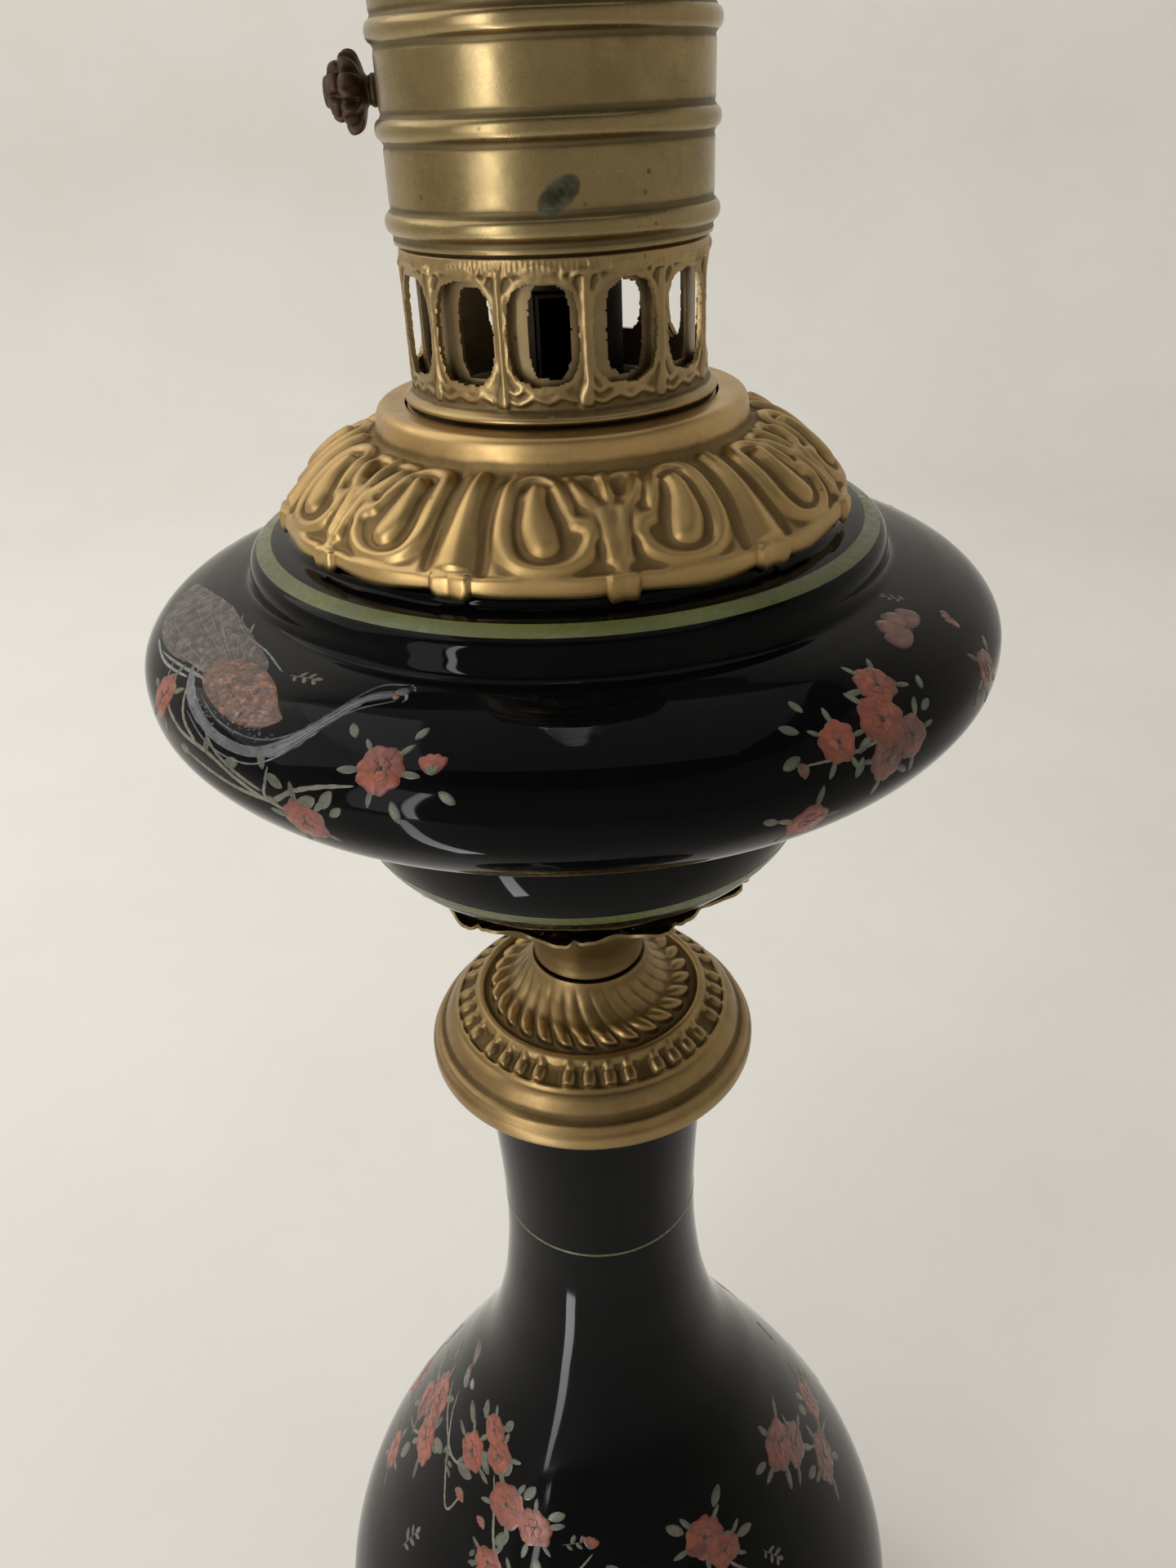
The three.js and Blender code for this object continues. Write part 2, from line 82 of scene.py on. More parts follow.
def radius(node):
    """The largest radius of a CAD node whose axis is Z, in millimetres."""
    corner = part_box(node)[1]
    return max(corner.x, corner.y) / MM


def lengths(line):
    """How far along a line each of its points is."""
    steps = np.linalg.norm(np.diff(line, axis=0), axis=1)
    return np.concatenate([[0.0], np.cumsum(steps)])


def even(line, step):
    """The same line with points about one step apart."""
    line = np.asarray(line, float)
    far = lengths(line)
    at = np.linspace(0, far[-1], max(2, int(round(far[-1] / step)) + 1))
    return np.stack([np.interp(at, far, line[:, i]) for i in range(line.shape[1])], axis=1)


def curve(points, step=0.5):
    """A smooth curve through the points (Catmull-Rom)."""
    p = np.asarray(points, float)
    p = np.vstack([2 * p[0] - p[1], p, 2 * p[-1] - p[-2]])
    t = np.linspace(0, 1, 24, endpoint=False)[:, None]
    parts = []
    for a, b, c, d in zip(p[:-3], p[1:-2], p[2:-1], p[3:]):
        cubic = (-a + 3 * b - 3 * c + d) * t**3 + (2 * a - 5 * b + 4 * c - d) * t**2
        parts.append(0.5 * (cubic + (c - a) * t + 2 * b))
    return even(np.vstack([*parts, p[-2:-1]]), step)


def join(*lines):
    """Lines end to end, without the points that they share."""
    out = [np.asarray(lines[0], float)]
    for line in lines[1:]:
        line = np.asarray(line, float)
        out.append(line[1:] if np.linalg.norm(line[0] - out[-1][-1]) < 0.01 else line)
    return np.vstack(out)


def blur(values, sigma, axis=0, wrap=False):
    """Gaussian smoothing over the points of one axis; sigma is in points."""
    reach = max(1, int(3 * sigma))
    weights = np.exp(-0.5 * (np.arange(-reach, reach + 1) / sigma) ** 2)
    weights /= weights.sum()
    pad = [(0, 0)] * values.ndim
    pad[axis] = (reach, reach)
    wide = np.pad(values, pad, mode="wrap" if wrap else "edge")
    count = values.shape[axis]
    return sum(w * np.take(wide, np.arange(i, i + count), axis=axis) for i, w in enumerate(weights))


def soften(line, width, step):
    """Rounds the corners of an open line of even steps, and keeps its ends."""
    sigma = width / step
    reach = max(1, int(3 * sigma))
    before = 2 * line[0] - line[reach:0:-1]
    after = 2 * line[-1] - line[-2:-reach - 2:-1]
    return blur(np.vstack([before, line, after]), sigma)[reach:-reach]


def outward(line):
    """Unit normals of a line of [r, z] that runs upwards with its outside at larger r."""
    along = np.gradient(line, axis=0)
    along /= np.linalg.norm(along, axis=1, keepdims=True) + 1e-12
    return np.stack([along[:, 1], -along[:, 0]], axis=1)


def smoothstep(x, start, end):
    t = np.clip((x - start) / (end - start), 0, 1)
    return t * t * (3 - 2 * t)


def bump(distance, width):
    """1 at no distance, falling smoothly to 0 at the width."""
    return np.clip(1 - (distance / width) ** 2, 0, 1)


def all_round(segments):
    """A row of evenly spaced angles in degrees, starting at the front."""
    return (np.arange(segments) * 360 / segments)[None, :]


def heading(turn):
    """The cosine and sine of an angle in degrees."""
    return math.cos(math.radians(turn)), math.sin(math.radians(turn))


def folded(angle, count, phase=0.0):
    """Degrees from the nearest of count evenly spaced axes, signed."""
    cell = 360 / count
    return (angle - phase + cell / 2) % cell - cell / 2


# ---------- Meshes ----------


def new_piece(name, points, faces, node_or_body, material, replaces=(), sharp=38):
    """A mesh object from points in millimetres, riding on a body."""
    mesh = bpy.data.meshes.new(name)
    mesh.from_pydata(np.asarray(points, float) * MM, [], faces)
    mesh.validate()
    mesh.shade_smooth()
    mesh.set_sharp_from_angle(angle=math.radians(sharp))
    mesh.materials.append(material)
    piece = bpy.data.objects.new(name, mesh)
    bpy.context.scene.collection.objects.link(piece)
    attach(piece, BODY.get(node_or_body, node_or_body))
    if replaces:
        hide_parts(*replaces)
    return piece


def add_value(piece, name, values):
    """A number at each vertex, for the material to read."""
    attribute = piece.data.attributes.new(name, "FLOAT", "POINT")
    attribute.data.foreach_set("value", np.asarray(values, np.float32).ravel())


def grid_faces(rows, columns, wrap_rows=False):
    """Quads of a grid that closes on itself round its columns, seen from outside."""
    j = np.arange(rows if wrap_rows else rows - 1)[:, None]
    k = np.arange(columns)[None, :]
    up = (j + 1) % rows
    right = (k + 1) % columns
    corners = [j * columns + k, j * columns + right, up * columns + right, up * columns + k]
    return np.stack([np.broadcast_to(c, (len(j), columns)) for c in corners], axis=-1)


def open_grid(rows, columns):
    """Quads of a grid that doesn't close on itself."""
    return grid_faces(rows, columns)[:, :-1].reshape(-1, 4)


def placed(r, z, angle):
    """Points at a radius, a height and an angle in degrees."""
    turn = np.radians(angle)
    return np.stack(np.broadcast_arrays(r * np.sin(turn), -r * np.cos(turn), z), axis=-1)


# Points closer than this, in metres, are one point: where a row of them ends on the axis.
AXIS_GAP = 1e-7
TIP_GAP = 1e-6


def clean(mesh, within=0.0, facing=False):
    """Merges points that lie within some metres, drops bare ones, and turns faces outwards if asked."""
    bm = bmesh.new()
    bm.from_mesh(mesh)
    if within:
        bmesh.ops.remove_doubles(bm, verts=bm.verts, dist=within)
    bare = [v for v in bm.verts if not v.link_faces]
    bmesh.ops.delete(bm, geom=bare, context="VERTS")
    if facing:
        bmesh.ops.recalc_face_normals(bm, faces=bm.faces)
    bm.to_mesh(mesh)
    bm.free()


def both_sides(quads, count):
    """Faces of a closed sheet: its outer quads, the inner ones count points on, and its open edges."""
    starts, ends = quads.ravel(), np.roll(quads, -1, axis=1).ravel()
    open_edge = ~np.isin(starts * count + ends, ends * count + starts)
    a, b = starts[open_edge], ends[open_edge]
    walls = np.stack([b, a, a + count, b + count], axis=1)
    return np.vstack([quads, quads[:, ::-1] + count, walls])


# How a sheet's crests and hollows are told apart for its material, all in millimetres.
BEND_REACH = 1.6
RELIEF_REACH = 1.2
FULL_CREST = 0.35


def shell(line, thickness, segments, relief=None, keep=None, shape=None):
    """Points, faces and hollow-or-crest values of a pressed sheet turned about Z.

    line runs upwards along the outer side. relief(u, z, angle) raises both sides, u being how far up
    the line a point is. keep(z, angle) says which of the faces stay, and shape(r, z, angle, u) moves
    the points last of all.
    """
    normal = outward(line)
    u = lengths(line)[:, None]
    angle = all_round(segments) - 180
    height = np.zeros((len(line), segments))
    if relief:
        height = height + relief(u, line[:, 1:2], angle)
    sides = []
    for depth in (0.0, thickness):
        r = line[:, 0:1] + normal[:, 0:1] * (height - depth)
        z = line[:, 1:2] + normal[:, 1:2] * (height - depth)
        if shape:
            r, z = shape(r, z, angle, u)
        sides.append(placed(r, z, angle).reshape(-1, 3))
    quads = grid_faces(len(line), segments)
    if keep:
        middle = (line[:-1, 1:2] + line[1:, 1:2]) / 2
        quads = quads[keep(middle, angle + 180 / segments)]
    faces = both_sides(quads.reshape(-1, 4), len(sides[0]))
    step = u[-1, 0] / (len(line) - 1)
    bend = ((line - blur(line, BEND_REACH / step)) * normal).sum(axis=1, keepdims=True)
    mean = blur(blur(height, RELIEF_REACH / step), segments / 220, axis=1, wrap=True)
    value = np.clip((bend + height - mean) / FULL_CREST, -1, 1).ravel()
    used, faces = np.unique(faces, return_inverse=True)
    points = np.vstack(sides)[used]
    return points, faces.reshape(-1, 4), np.concatenate([value, value])[used]


def pressed(name, node, line, thickness, segments, material, **how):
    """A pressed sheet that stands for a CAD node."""
    points, faces, value = shell(line, thickness, segments, **how)
    piece = new_piece(name, points, faces, node, material, [node])
    add_value(piece, "relief", value)
    return piece


def turned(name, node, loop, segments, material):
    """A closed outline of [r, z], anticlockwise, turned about Z; an outline may touch the axis."""
    points = placed(loop[:, 0:1], loop[:, 1:2], all_round(segments)).reshape(-1, 3)
    faces = grid_faces(len(loop), segments, wrap_rows=True).reshape(-1, 4)
    piece = new_piece(name, points, faces, node, material, [node])
    smooth_loop = blur(loop, 3, wrap=True)
    around = np.roll(loop, -1, axis=0) - np.roll(loop, 1, axis=0)
    normal = np.stack([around[:, 1], -around[:, 0]], axis=1)
    normal /= np.linalg.norm(normal, axis=1, keepdims=True) + 1e-12
    value = np.clip(((loop - smooth_loop) * normal).sum(axis=1) / 0.3, -1, 1)
    add_value(piece, "relief", np.repeat(value, segments))
    if loop[:, 0].min() < 1e-6:
        clean(piece.data, AXIS_GAP)
    return piece


def cad_outline(node):
    """The closed outline of a CAD node that is a plain turned solid, read where it crosses the front.

    Its points at x = 0 are joined up along the node's own edges, and along the axis where they reach it.
    """
    mesh = NODES[node].data
    on = {}
    for v in mesh.vertices:
        if abs(v.co.x) < 2e-5 and v.co.y < 1e-6:
            on[v.index] = (round(-v.co.y / MM, 3), round(v.co.z / MM, 3))
    links = {}
    for edge in mesh.edges:
        a, b = edge.vertices
        if a in on and b in on and on[a] != on[b]:
            links.setdefault(on[a], set()).add(on[b])
            links.setdefault(on[b], set()).add(on[a])
    axis = sorted(p for p in links if p[0] < 0.01)
    for a, b in zip(axis[::2], axis[1::2]):
        links[a].add(b)
        links[b].add(a)
    loop = walked(links)
    area = (loop[:, 0] * np.roll(loop[:, 1], -1) - np.roll(loop[:, 0], -1) * loop[:, 1]).sum()
    return loop if area > 0 else loop[::-1]


def walked(links):
    """The loop that linked points make, from the lowest outer one on."""
    start = min(links, key=lambda p: (p[1], -p[0]))
    loop, here, last = [start], start, None
    while True:
        onwards = [p for p in links[here] if p != last]
        if len(loop) == 1:
            onwards.sort(key=lambda p: -p[0])
        here, last = onwards[0], here
        if here == start or len(loop) > len(links):
            return np.array(loop)
        loop.append(here)


def rounded_loop(loop, step, width):
    """A closed outline with even steps and corners rounded over about that width."""
    closed = np.vstack([loop, loop[:1]])
    line = even(closed, step)[:-1]
    soft = blur(line, width / step, wrap=True)
    on_axis = line[:, 0] < 0.01
    soft[on_axis] = line[on_axis]
    return soft


def smooth_copy(node, material):
    """A CAD node that is a plain turned solid, made round, with its sharp corners eased."""
    loop = rounded_loop(cad_outline(node), 0.5, 0.28)
    return turned(node + "_turned", node, loop, 128, material)


# ---------- Materials ----------


class Nodes:
    """A short way to write a material's node tree."""

    def __init__(self, name):
        self.material = bpy.data.materials.new(name)
        self.material.use_nodes = True
        self.tree = self.material.node_tree
        self.shader = self.tree.nodes["Principled BSDF"]
        self.place = self.add("ShaderNodeTexCoord").outputs["Object"]

    def add(self, kind, **values):
        node = self.tree.nodes.new(kind)
        for key, value in values.items():
            setattr(node, key, value)
        return node

    def put(self, source, socket):
        if isinstance(source, bpy.types.NodeSocket):
            self.tree.links.new(source, socket)
        else:
            socket.default_value = source

    def texture(self, kind, scale, stretch=(1, 1, 1)):
        """A procedural texture in the piece's own space, its scale in waves or cells per metre."""
        mapping = self.add("ShaderNodeMapping")
        mapping.inputs["Scale"].default_value = stretch
        self.put(self.place, mapping.inputs["Vector"])
        node = self.add(kind)
        node.inputs["Scale"].default_value = scale
        self.put(mapping.outputs[0], node.inputs["Vector"])
        return node

    def noise(self, scale, detail=4.0, rough=0.6, stretch=(1, 1, 1)):
        node = self.texture("ShaderNodeTexNoise", scale, stretch)
        node.inputs["Detail"].default_value = detail
        node.inputs["Roughness"].default_value = rough
        return node.outputs["Fac"]

    def cells(self, scale):
        return self.texture("ShaderNodeTexVoronoi", scale).outputs["Distance"]

    def value(self, name):
        return self.add("ShaderNodeAttribute", attribute_name=name).outputs["Fac"]

    def colour(self, name):
        return self.add("ShaderNodeAttribute", attribute_name=name).outputs["Color"]

    def ramp(self, source, start, end, low_value=0.0, high_value=1.0):
        """A smooth step from one value to the other as the source goes from start to end."""
        node = self.add("ShaderNodeMapRange", clamp=True)
        node.interpolation_type = "SMOOTHSTEP"
        self.put(source, node.inputs["Value"])
        for key, number in zip(range(1, 5), (start, end, low_value, high_value)):
            node.inputs[key].default_value = number
        return node.outputs["Result"]

    def sums(self, operation, a, b):
        node = self.add("ShaderNodeMath", operation=operation)
        self.put(a, node.inputs[0])
        self.put(b, node.inputs[1])
        return node.outputs[0]

    def plus(self, a, b):
        return self.sums("ADD", a, b)

    def times(self, a, b):
        return self.sums("MULTIPLY", a, b)

    def mix(self, share, a, b):
        """Colour a where share is 0 and colour b where it is 1."""
        node = self.add("ShaderNodeMix", data_type="RGBA")
        self.put(share, node.inputs["Factor"])
        for key, source in (("A", a), ("B", b)):
            socket = [s for s in node.inputs if s.name == key and s.type == "RGBA"][0]
            self.put(source, socket)
        return [s for s in node.outputs if s.type == "RGBA"][0]

    def bumps(self, height, distance, strength=1.0, under=None):
        node = self.add("ShaderNodeBump")
        node.inputs["Strength"].default_value = strength
        node.inputs["Distance"].default_value = distance
        self.put(height, node.inputs["Height"])
        if under:
            self.put(under, node.inputs["Normal"])
        return node.outputs["Normal"]

    def set(self, **sockets):
        """Fills the shader's sockets, their spaces written as underscores."""
        for name, source in sockets.items():
            self.put(source, self.shader.inputs[name.replace("_", " ")])
        return self.material


BRASS_GRAIN = 0.00002  # metres


def verdigris(n, wear, point, size, darkness):
    """How much of a spot lies at each place, its edge ragged where the metal is worn, and its green."""
    away = n.add("ShaderNodeVectorMath", operation="DISTANCE")
    n.put(n.place, away.inputs[0])
    away.inputs[1].default_value = point
    edge = n.plus(away.outputs["Value"], n.times(n.plus(wear, -0.5), size))
    green = n.mix(n.ramp(wear, 0.42, 0.58), (0.15, 0.145, 0.10, 1), (0.055, 0.058, 0.034, 1))
    return n.ramp(edge, size * 0.75, size * 1.05, darkness, 0.0), green


def brass(name, bright, body, dark, shine=(0.26, 0.46), tarnish=0.6, stains=()):
    """Old brass: rubbed on its crests, dark in its hollows, and blotched by touch and age.

    stains are (point in metres, radius in metres, darkness) of spots of verdigris.
    """
    n = Nodes(name)
    relief = n.value("relief")
    blotches = n.noise(22, 6, 0.62)
    specks = n.noise(900, 3, 0.7)
    wear = n.noise(140, 5, 0.6)
    uneven = n.times(n.plus(wear, -0.5), 0.55)
    crest = n.ramp(n.plus(relief, uneven), 0.02, 0.75)
    hollow = n.ramp(n.plus(relief, uneven), -0.02, -0.62)
    colour = n.mix(n.ramp(blotches, 0.36, 0.68, 0.0, tarnish), bright, body)
    colour = n.mix(n.ramp(n.noise(75, 6, 0.7), 0.42, 0.66, 0.0, tarnish), colour, body)
    colour = n.mix(n.times(crest, 0.5), colour, bright)
    colour = n.mix(n.times(hollow, 0.62), colour, dark)
    spots = n.ramp(n.cells(260), 0.0, 0.16, 1.0, 0.0)
    rare = n.ramp(n.noise(60, 2, 0.5), 0.56, 0.66)
    spotted = n.times(n.times(spots, rare), 0.75)
    colour = n.mix(spotted, colour, dark)
    rough = n.ramp(blotches, 0.3, 0.7, shine[0], shine[1])
    rough = n.plus(rough, n.times(hollow, 0.22))
    rough = n.plus(rough, n.times(specks, 0.08))
    for stain in stains:
        share, green = verdigris(n, wear, *stain)
        colour = n.mix(share, colour, green)
        rough = n.plus(rough, n.times(share, 0.2))
    fine = n.bumps(specks, BRASS_GRAIN, 0.7)
    n.set(Base_Color=colour, Roughness=rough, Metallic=1.0)
    return n.set(Normal=n.bumps(wear, BRASS_GRAIN * 3.5, 0.6, fine))


def glass_black():
    """Opaque black glass, with faint waves in the blowing and a trace of dust and finger marks."""
    n = Nodes("black_glass")
    smear = n.noise(16, 5, 0.7)
    dust = n.noise(700, 2, 0.6)
    film = n.ramp(smear, 0.45, 0.75)
    colour = n.mix(n.times(film, 0.5), (0.0016, 0.0017, 0.002, 1), (0.005, 0.005, 0.0056, 1))
    rough = n.ramp(smear, 0.35, 0.8, 0.03, 0.08)
    rough = n.plus(rough, n.ramp(dust, 0.62, 0.8, 0.0, 0.05))
    n.set(Base_Color=colour, Roughness=rough, IOR=1.5, Specular_IOR_Level=0.09)
    return n.set(Normal=n.bumps(n.noise(11, 1.5, 0.4), 0.00035, 0.35))


def glass_clear():
    n = Nodes("clear_glass")
    marks = n.noise(30, 4, 0.65)
    n.set(Base_Color=(0.975, 0.99, 0.985, 1), Roughness=n.ramp(marks, 0.4, 0.8, 0.0, 0.035))
    n.set(Transmission_Weight=1.0, IOR=1.47)
    return n.set(Normal=n.bumps(n.noise(14, 1.5, 0.4), 0.0003, 0.4))


def enamel():
    """Fired enamel paint: the colour painted on each part, thin at its edges and worn in patches."""
    n = Nodes("enamel")
    paint = n.colour("paint")
    grain = n.noise(420, 4, 0.7)
    worn = n.noise(75, 3, 0.6)
    shade = n.mix(n.ramp(grain, 0.3, 0.75, 0.0, 0.6), paint, (0.02, 0.017, 0.016, 1))
    shade = n.mix(n.ramp(worn, 0.5, 0.74, 0.0, 0.6), shade, (0.008, 0.008, 0.009, 1))
    n.set(Base_Color=shade, Roughness=n.ramp(grain, 0.3, 0.7, 0.22, 0.5), IOR=1.5)
    return n.set(Normal=n.bumps(grain, 0.00012, 0.6))


def enamel_line(name, colour, thin):
    """A hand-drawn line of enamel, thinner and darker where the brush ran dry."""
    n = Nodes(name)
    flow = n.noise(60, 4, 0.6)
    speck = n.noise(520, 3, 0.65)
    shade = n.mix(n.ramp(flow, 0.35, 0.75, 0.0, 0.75), colour, thin)
    shade = n.mix(n.ramp(speck, 0.5, 0.8, 0.0, 0.45), shade, thin)
    n.set(Base_Color=shade, Roughness=n.ramp(speck, 0.3, 0.7, 0.18, 0.4), IOR=1.5)
    return n.set(Normal=n.bumps(speck, 0.00006, 0.5))


def metal(name, light, dark, shine=(0.35, 0.6), grain=0.00003):
    """A plain worn metal with a cast or rolled grain."""
    n = Nodes(name)
    grit = n.noise(320, 5, 0.65)
    patches = n.noise(28, 5, 0.6)
    colour = n.mix(n.ramp(patches, 0.35, 0.7), light, dark)
    colour = n.mix(n.ramp(grit, 0.55, 0.8, 0.0, 0.6), colour, dark)
    n.set(Base_Color=colour, Roughness=n.ramp(grit, 0.3, 0.7, *shine), Metallic=1.0)
    return n.set(Normal=n.bumps(grit, grain, 0.8))


def cork_board():
    n = Nodes("cork")
    grains = n.cells(420)
    shade = n.noise(240, 4, 0.7)
    colour = n.mix(n.ramp(grains, 0.05, 0.6), (0.12, 0.06, 0.025, 1), (0.5, 0.31, 0.16, 1))
    colour = n.mix(n.ramp(shade, 0.4, 0.7, 0.0, 0.5), colour, (0.3, 0.17, 0.08, 1))
    n.set(Base_Color=colour, Roughness=n.ramp(shade, 0.3, 0.7, 0.8, 0.98))
    return n.set(Normal=n.bumps(grains, 0.0003, 0.7))


def cotton_cloth():
    """Undyed wick cotton, yellowed by oil below and charred at its burnt edge."""
    n = Nodes("cotton")
    char = n.value("char")
    fibre = n.noise(900, 4, 0.7, (1, 1, 0.35))
    clean = n.mix(n.ramp(fibre, 0.3, 0.75), (0.62, 0.55, 0.4, 1), (0.36, 0.29, 0.18, 1))
    edge = n.plus(char, n.times(n.plus(n.noise(260, 4, 0.7), -0.5), 0.8))
    colour = n.mix(n.ramp(edge, 0.15, 0.6), clean, (0.07, 0.04, 0.02, 1))
    colour = n.mix(n.ramp(edge, 0.55, 0.85), colour, (0.008, 0.007, 0.006, 1))
    n.set(Base_Color=colour, Roughness=0.92, Sheen_Weight=0.35)
    return n.set(Normal=n.bumps(fibre, 0.0002, 0.8))


# ---------- Relief ornament ----------


def raised(x, y, lines, step=0.4):
    """Height at x, y of rounded strokes, each a list of (x, y, half width) and a height."""
    top = np.zeros(np.broadcast(x, y).shape)
    for points, height in lines:
        for at_x, at_y, width in curve(points, step):
            away = (x - at_x) ** 2 + (y - at_y) ** 2
            top = np.maximum(top, height * (1 - away / width**2))
    return top


def outline(node, pairs):
    """Points [r, height above the node's lowest point] as points of the lamp."""
    line = np.array(pairs, float)
    line[:, 1] += low(node)
    return line


def drawn(node, parts, step, width):
    """An outline in parts, each a smooth curve, with the corners between them eased over a width."""
    line = join(*[curve(outline(node, part)) for part in parts])
    return soften(even(line, step), width, step)


# Half of one sixth of the shoulder cap, in degrees from a volute's stem and millimetres up the cap.
CAP_RAISED = [
    ([(8.0, 14.6, 1.2), (9.6, 18.2, 1.8), (11.4, 22.0, 2.1), (15.0, 24.8, 2.0), (19.3, 24.8, 2.0),
      (22.0, 22.0, 2.4), (22.0, 16.0, 2.8), (21.4, 10.5, 2.9), (19.0, 6.5, 2.5), (14.6, 4.8, 2.0),
      (10.0, 5.0, 1.8), (6.6, 7.0, 1.8), (4.6, 10.4, 2.0), (5.4, 13.2, 2.5), (7.2, 13.6, 2.0)], 1.45),
    ([(15.4, 21.4, 2.0), (15.8, 17.4, 3.0), (15.2, 12.8, 4.3), (13.8, 9.6, 4.0)], 2.2),
    ([(0.6, 9.0, 1.2), (2.4, 13.6, 1.9), (4.8, 18.0, 2.3), (6.6, 21.4, 1.8), (7.6, 23.6, 0.9)], 1.25),
    ([(0.0, 3.6, 1.6), (0.0, 7.0, 1.1), (0.0, 13.0, 1.0), (0.0, 20.0, 1.1), (0.0, 26.0, 1.4)], 0.95),
    ([(1.3, 6.0, 1.2), (2.0, 10.5, 1.6), (2.0, 14.0, 1.3), (1.7, 17.2, 0.6)], 1.4),
    ([(30.0, 4.0, 4.6), (30.0, 8.6, 3.9), (30.0, 14.0, 2.9), (30.0, 20.0, 2.2), (30.0, 26.0, 1.6)], 1.7),
    ([(8.6, 25.6, 1.3), (5.4, 26.2, 1.1), (3.2, 25.6, 0.8)], 0.7),
]
CAP_SUNK = [
    ([(24.4, 3.4, 0.8), (24.5, 10.0, 0.8), (24.5, 17.0, 0.8), (24.2, 22.4, 0.9), (22.8, 26.2, 0.9)], 1.0),
    ([(30.0, 3.0, 0.8), (26.0, 3.1, 0.8), (22.0, 2.7, 0.8), (15.0, 2.6, 0.8), (9.0, 3.2, 0.8),
      (5.0, 4.4, 0.8), (2.4, 4.2, 0.7)], 0.9),
    ([(3.0, 20.6, 1.3), (3.4, 23.4, 2.1)], 1.2),
    ([(12.8, 22.4, 0.9), (15.5, 22.9, 1.1), (18.6, 22.2, 0.9)], 0.9),
    ([(3.3, 8.4, 1.0), (3.6, 9.4, 0.9)], 1.1),
    ([(18.4, 18.0, 0.6), (18.6, 12.0, 0.7), (17.4, 7.6, 0.8), (13.6, 6.2, 0.7), (10.4, 8.2, 0.6),
      (10.2, 12.4, 0.5)], 0.8),
    ([(7.6, 15.6, 0.5), (4.6, 16.4, 0.6), (2.9, 12.6, 0.6), (3.1, 7.0, 0.6)], 0.7),
]
CAP_AXIS = 9.0  # degrees from the front to a volute's stem
CAP_EDGE = 61.5  # the skirt's radius
TAB_STEP = 30  # degrees from one tab of the skirt's edge to the next


def shoulder_cap(material):
    edge = [[60.9, 0.2], [61.3, 0.6], [61.2, 2.2], [60.7, 3.2]]
    skirt = [[60.7, 3.2], [59.5, 4.1], [57.2, 6.4], [54.1, 9.4], [50.5, 12.3], [46.5, 14.5],
             [41.6, 15.9]]
    band = [[41.6, 15.9], [40.5, 16.5], [40.1, 18.5], [39.7, 20.9], [38.8, 22.2], [37.4, 22.6],
            [33.5, 22.5]]
    line = drawn("shoulder_cap", (edge, skirt, band), 0.36, 0.35)
    far = lengths(line)

    def spread(lines):
        """Stroke points in millimetres across and up the cap."""
        return [([(math.radians(d) * np.interp(u, far, line[:, 0]), u, w) for d, u, w in points], height)
                for points, height in lines]

    def relief(u, z, angle):
        across = np.abs(folded(angle, 6, CAP_AXIS))
        x = np.radians(across) * np.interp(u, far, line[:, 0])
        height = raised(x, u, spread(CAP_RAISED)) - raised(x, u, spread(CAP_SUNK))
        height = height * smoothstep(u, 3.0, 4.0) * smoothstep(u, 27.6, 26.0)
        tab = np.abs(folded(angle, 12, CAP_AXIS))
        wide = 2.6 + 1.2 * (np.round((angle - CAP_AXIS) / TAB_STEP) % 2)
        lip = 0.55 * np.sin(np.radians(tab * 180 / TAB_STEP)) ** 0.6
        lip = lip + 0.3 * np.sin(np.radians(angle * 17))
        lip = lip + 1.0 * smoothstep(np.radians(tab) * CAP_EDGE, wide + 0.7, wide - 0.4)
        soft = blur(blur(height, 1.5), 1.6, axis=1, wrap=True)
        return soft + blur(lip * smoothstep(u, 3.5, 2.8), 0.8)

    def hang(r, z, angle, u):
        """Drops the skirt's edge in a tab and a lobe by turns."""
        tab = np.radians(np.abs(folded(angle, 12, CAP_AXIS))) * CAP_EDGE
        lobe = np.sin(np.minimum(tab / 16.1, 1) * math.pi / 2)
        drop = 0.8 * smoothstep(tab, 3.4, 2.6) + 0.7 * lobe + 0.3 * np.sin(np.radians(3 * angle))
        return r, z - drop * smoothstep(u, 1.8, 0.2)

    return pressed("shoulder_cap_embossed", "shoulder_cap", line, 0.8, 960, material,
                   relief=relief, shape=hang)


# One bay of the gallery, in millimetres across from the bay's middle and up from the holes' middle.
BAY_RAISED = [
    ([(8.2, -10.6, 0.8), (8.1, -4.0, 0.75), (8.0, 3.0, 0.7), (8.0, 7.0, 0.95), (8.1, 10.4, 1.2)], 1.05),
    ([(8.4, 10.8, 0.9), (6.6, 10.6, 0.7), (5.0, 9.2, 0.6), (4.0, 10.3, 0.5), (4.6, 11.2, 0.4)], 0.8),
    ([(-7.9, 8.6, 0.8), (-7.2, 9.9, 0.7), (-6.0, 10.6, 0.5), (-5.2, 9.8, 0.45)], 0.7),
    ([(-6.9, 7.0, 0.5), (-7.2, 4.8, 0.5), (-6.7, 2.6, 0.5), (-7.1, 0.6, 0.5), (-6.8, -2.6, 0.5),
      (-6.9, -5.6, 0.5), (-5.9, -7.7, 0.6)], 0.75),
    ([(8.2, -9.0, 1.0), (8.1, -10.8, 1.6), (8.1, -12.2, 2.0)], 0.9),
    ([(5.6, -11.9, 0.6), (3.0, -11.1, 0.6), (0.6, -12.0, 0.6), (-2.2, -11.2, 0.6), (-5.0, -12.3, 0.6),
      (-7.6, -11.4, 0.6)], 0.7),
    ([(-7.6, -7.6, 0.55), (-7.2, -9.2, 0.6), (-5.8, -10.4, 0.6), (-4.4, -9.8, 0.5)], 0.7),
    ([(2.6, 11.3, 0.5), (0.0, 12.0, 0.5), (-2.8, 11.4, 0.5)], 0.6),
]
BAYS = 12
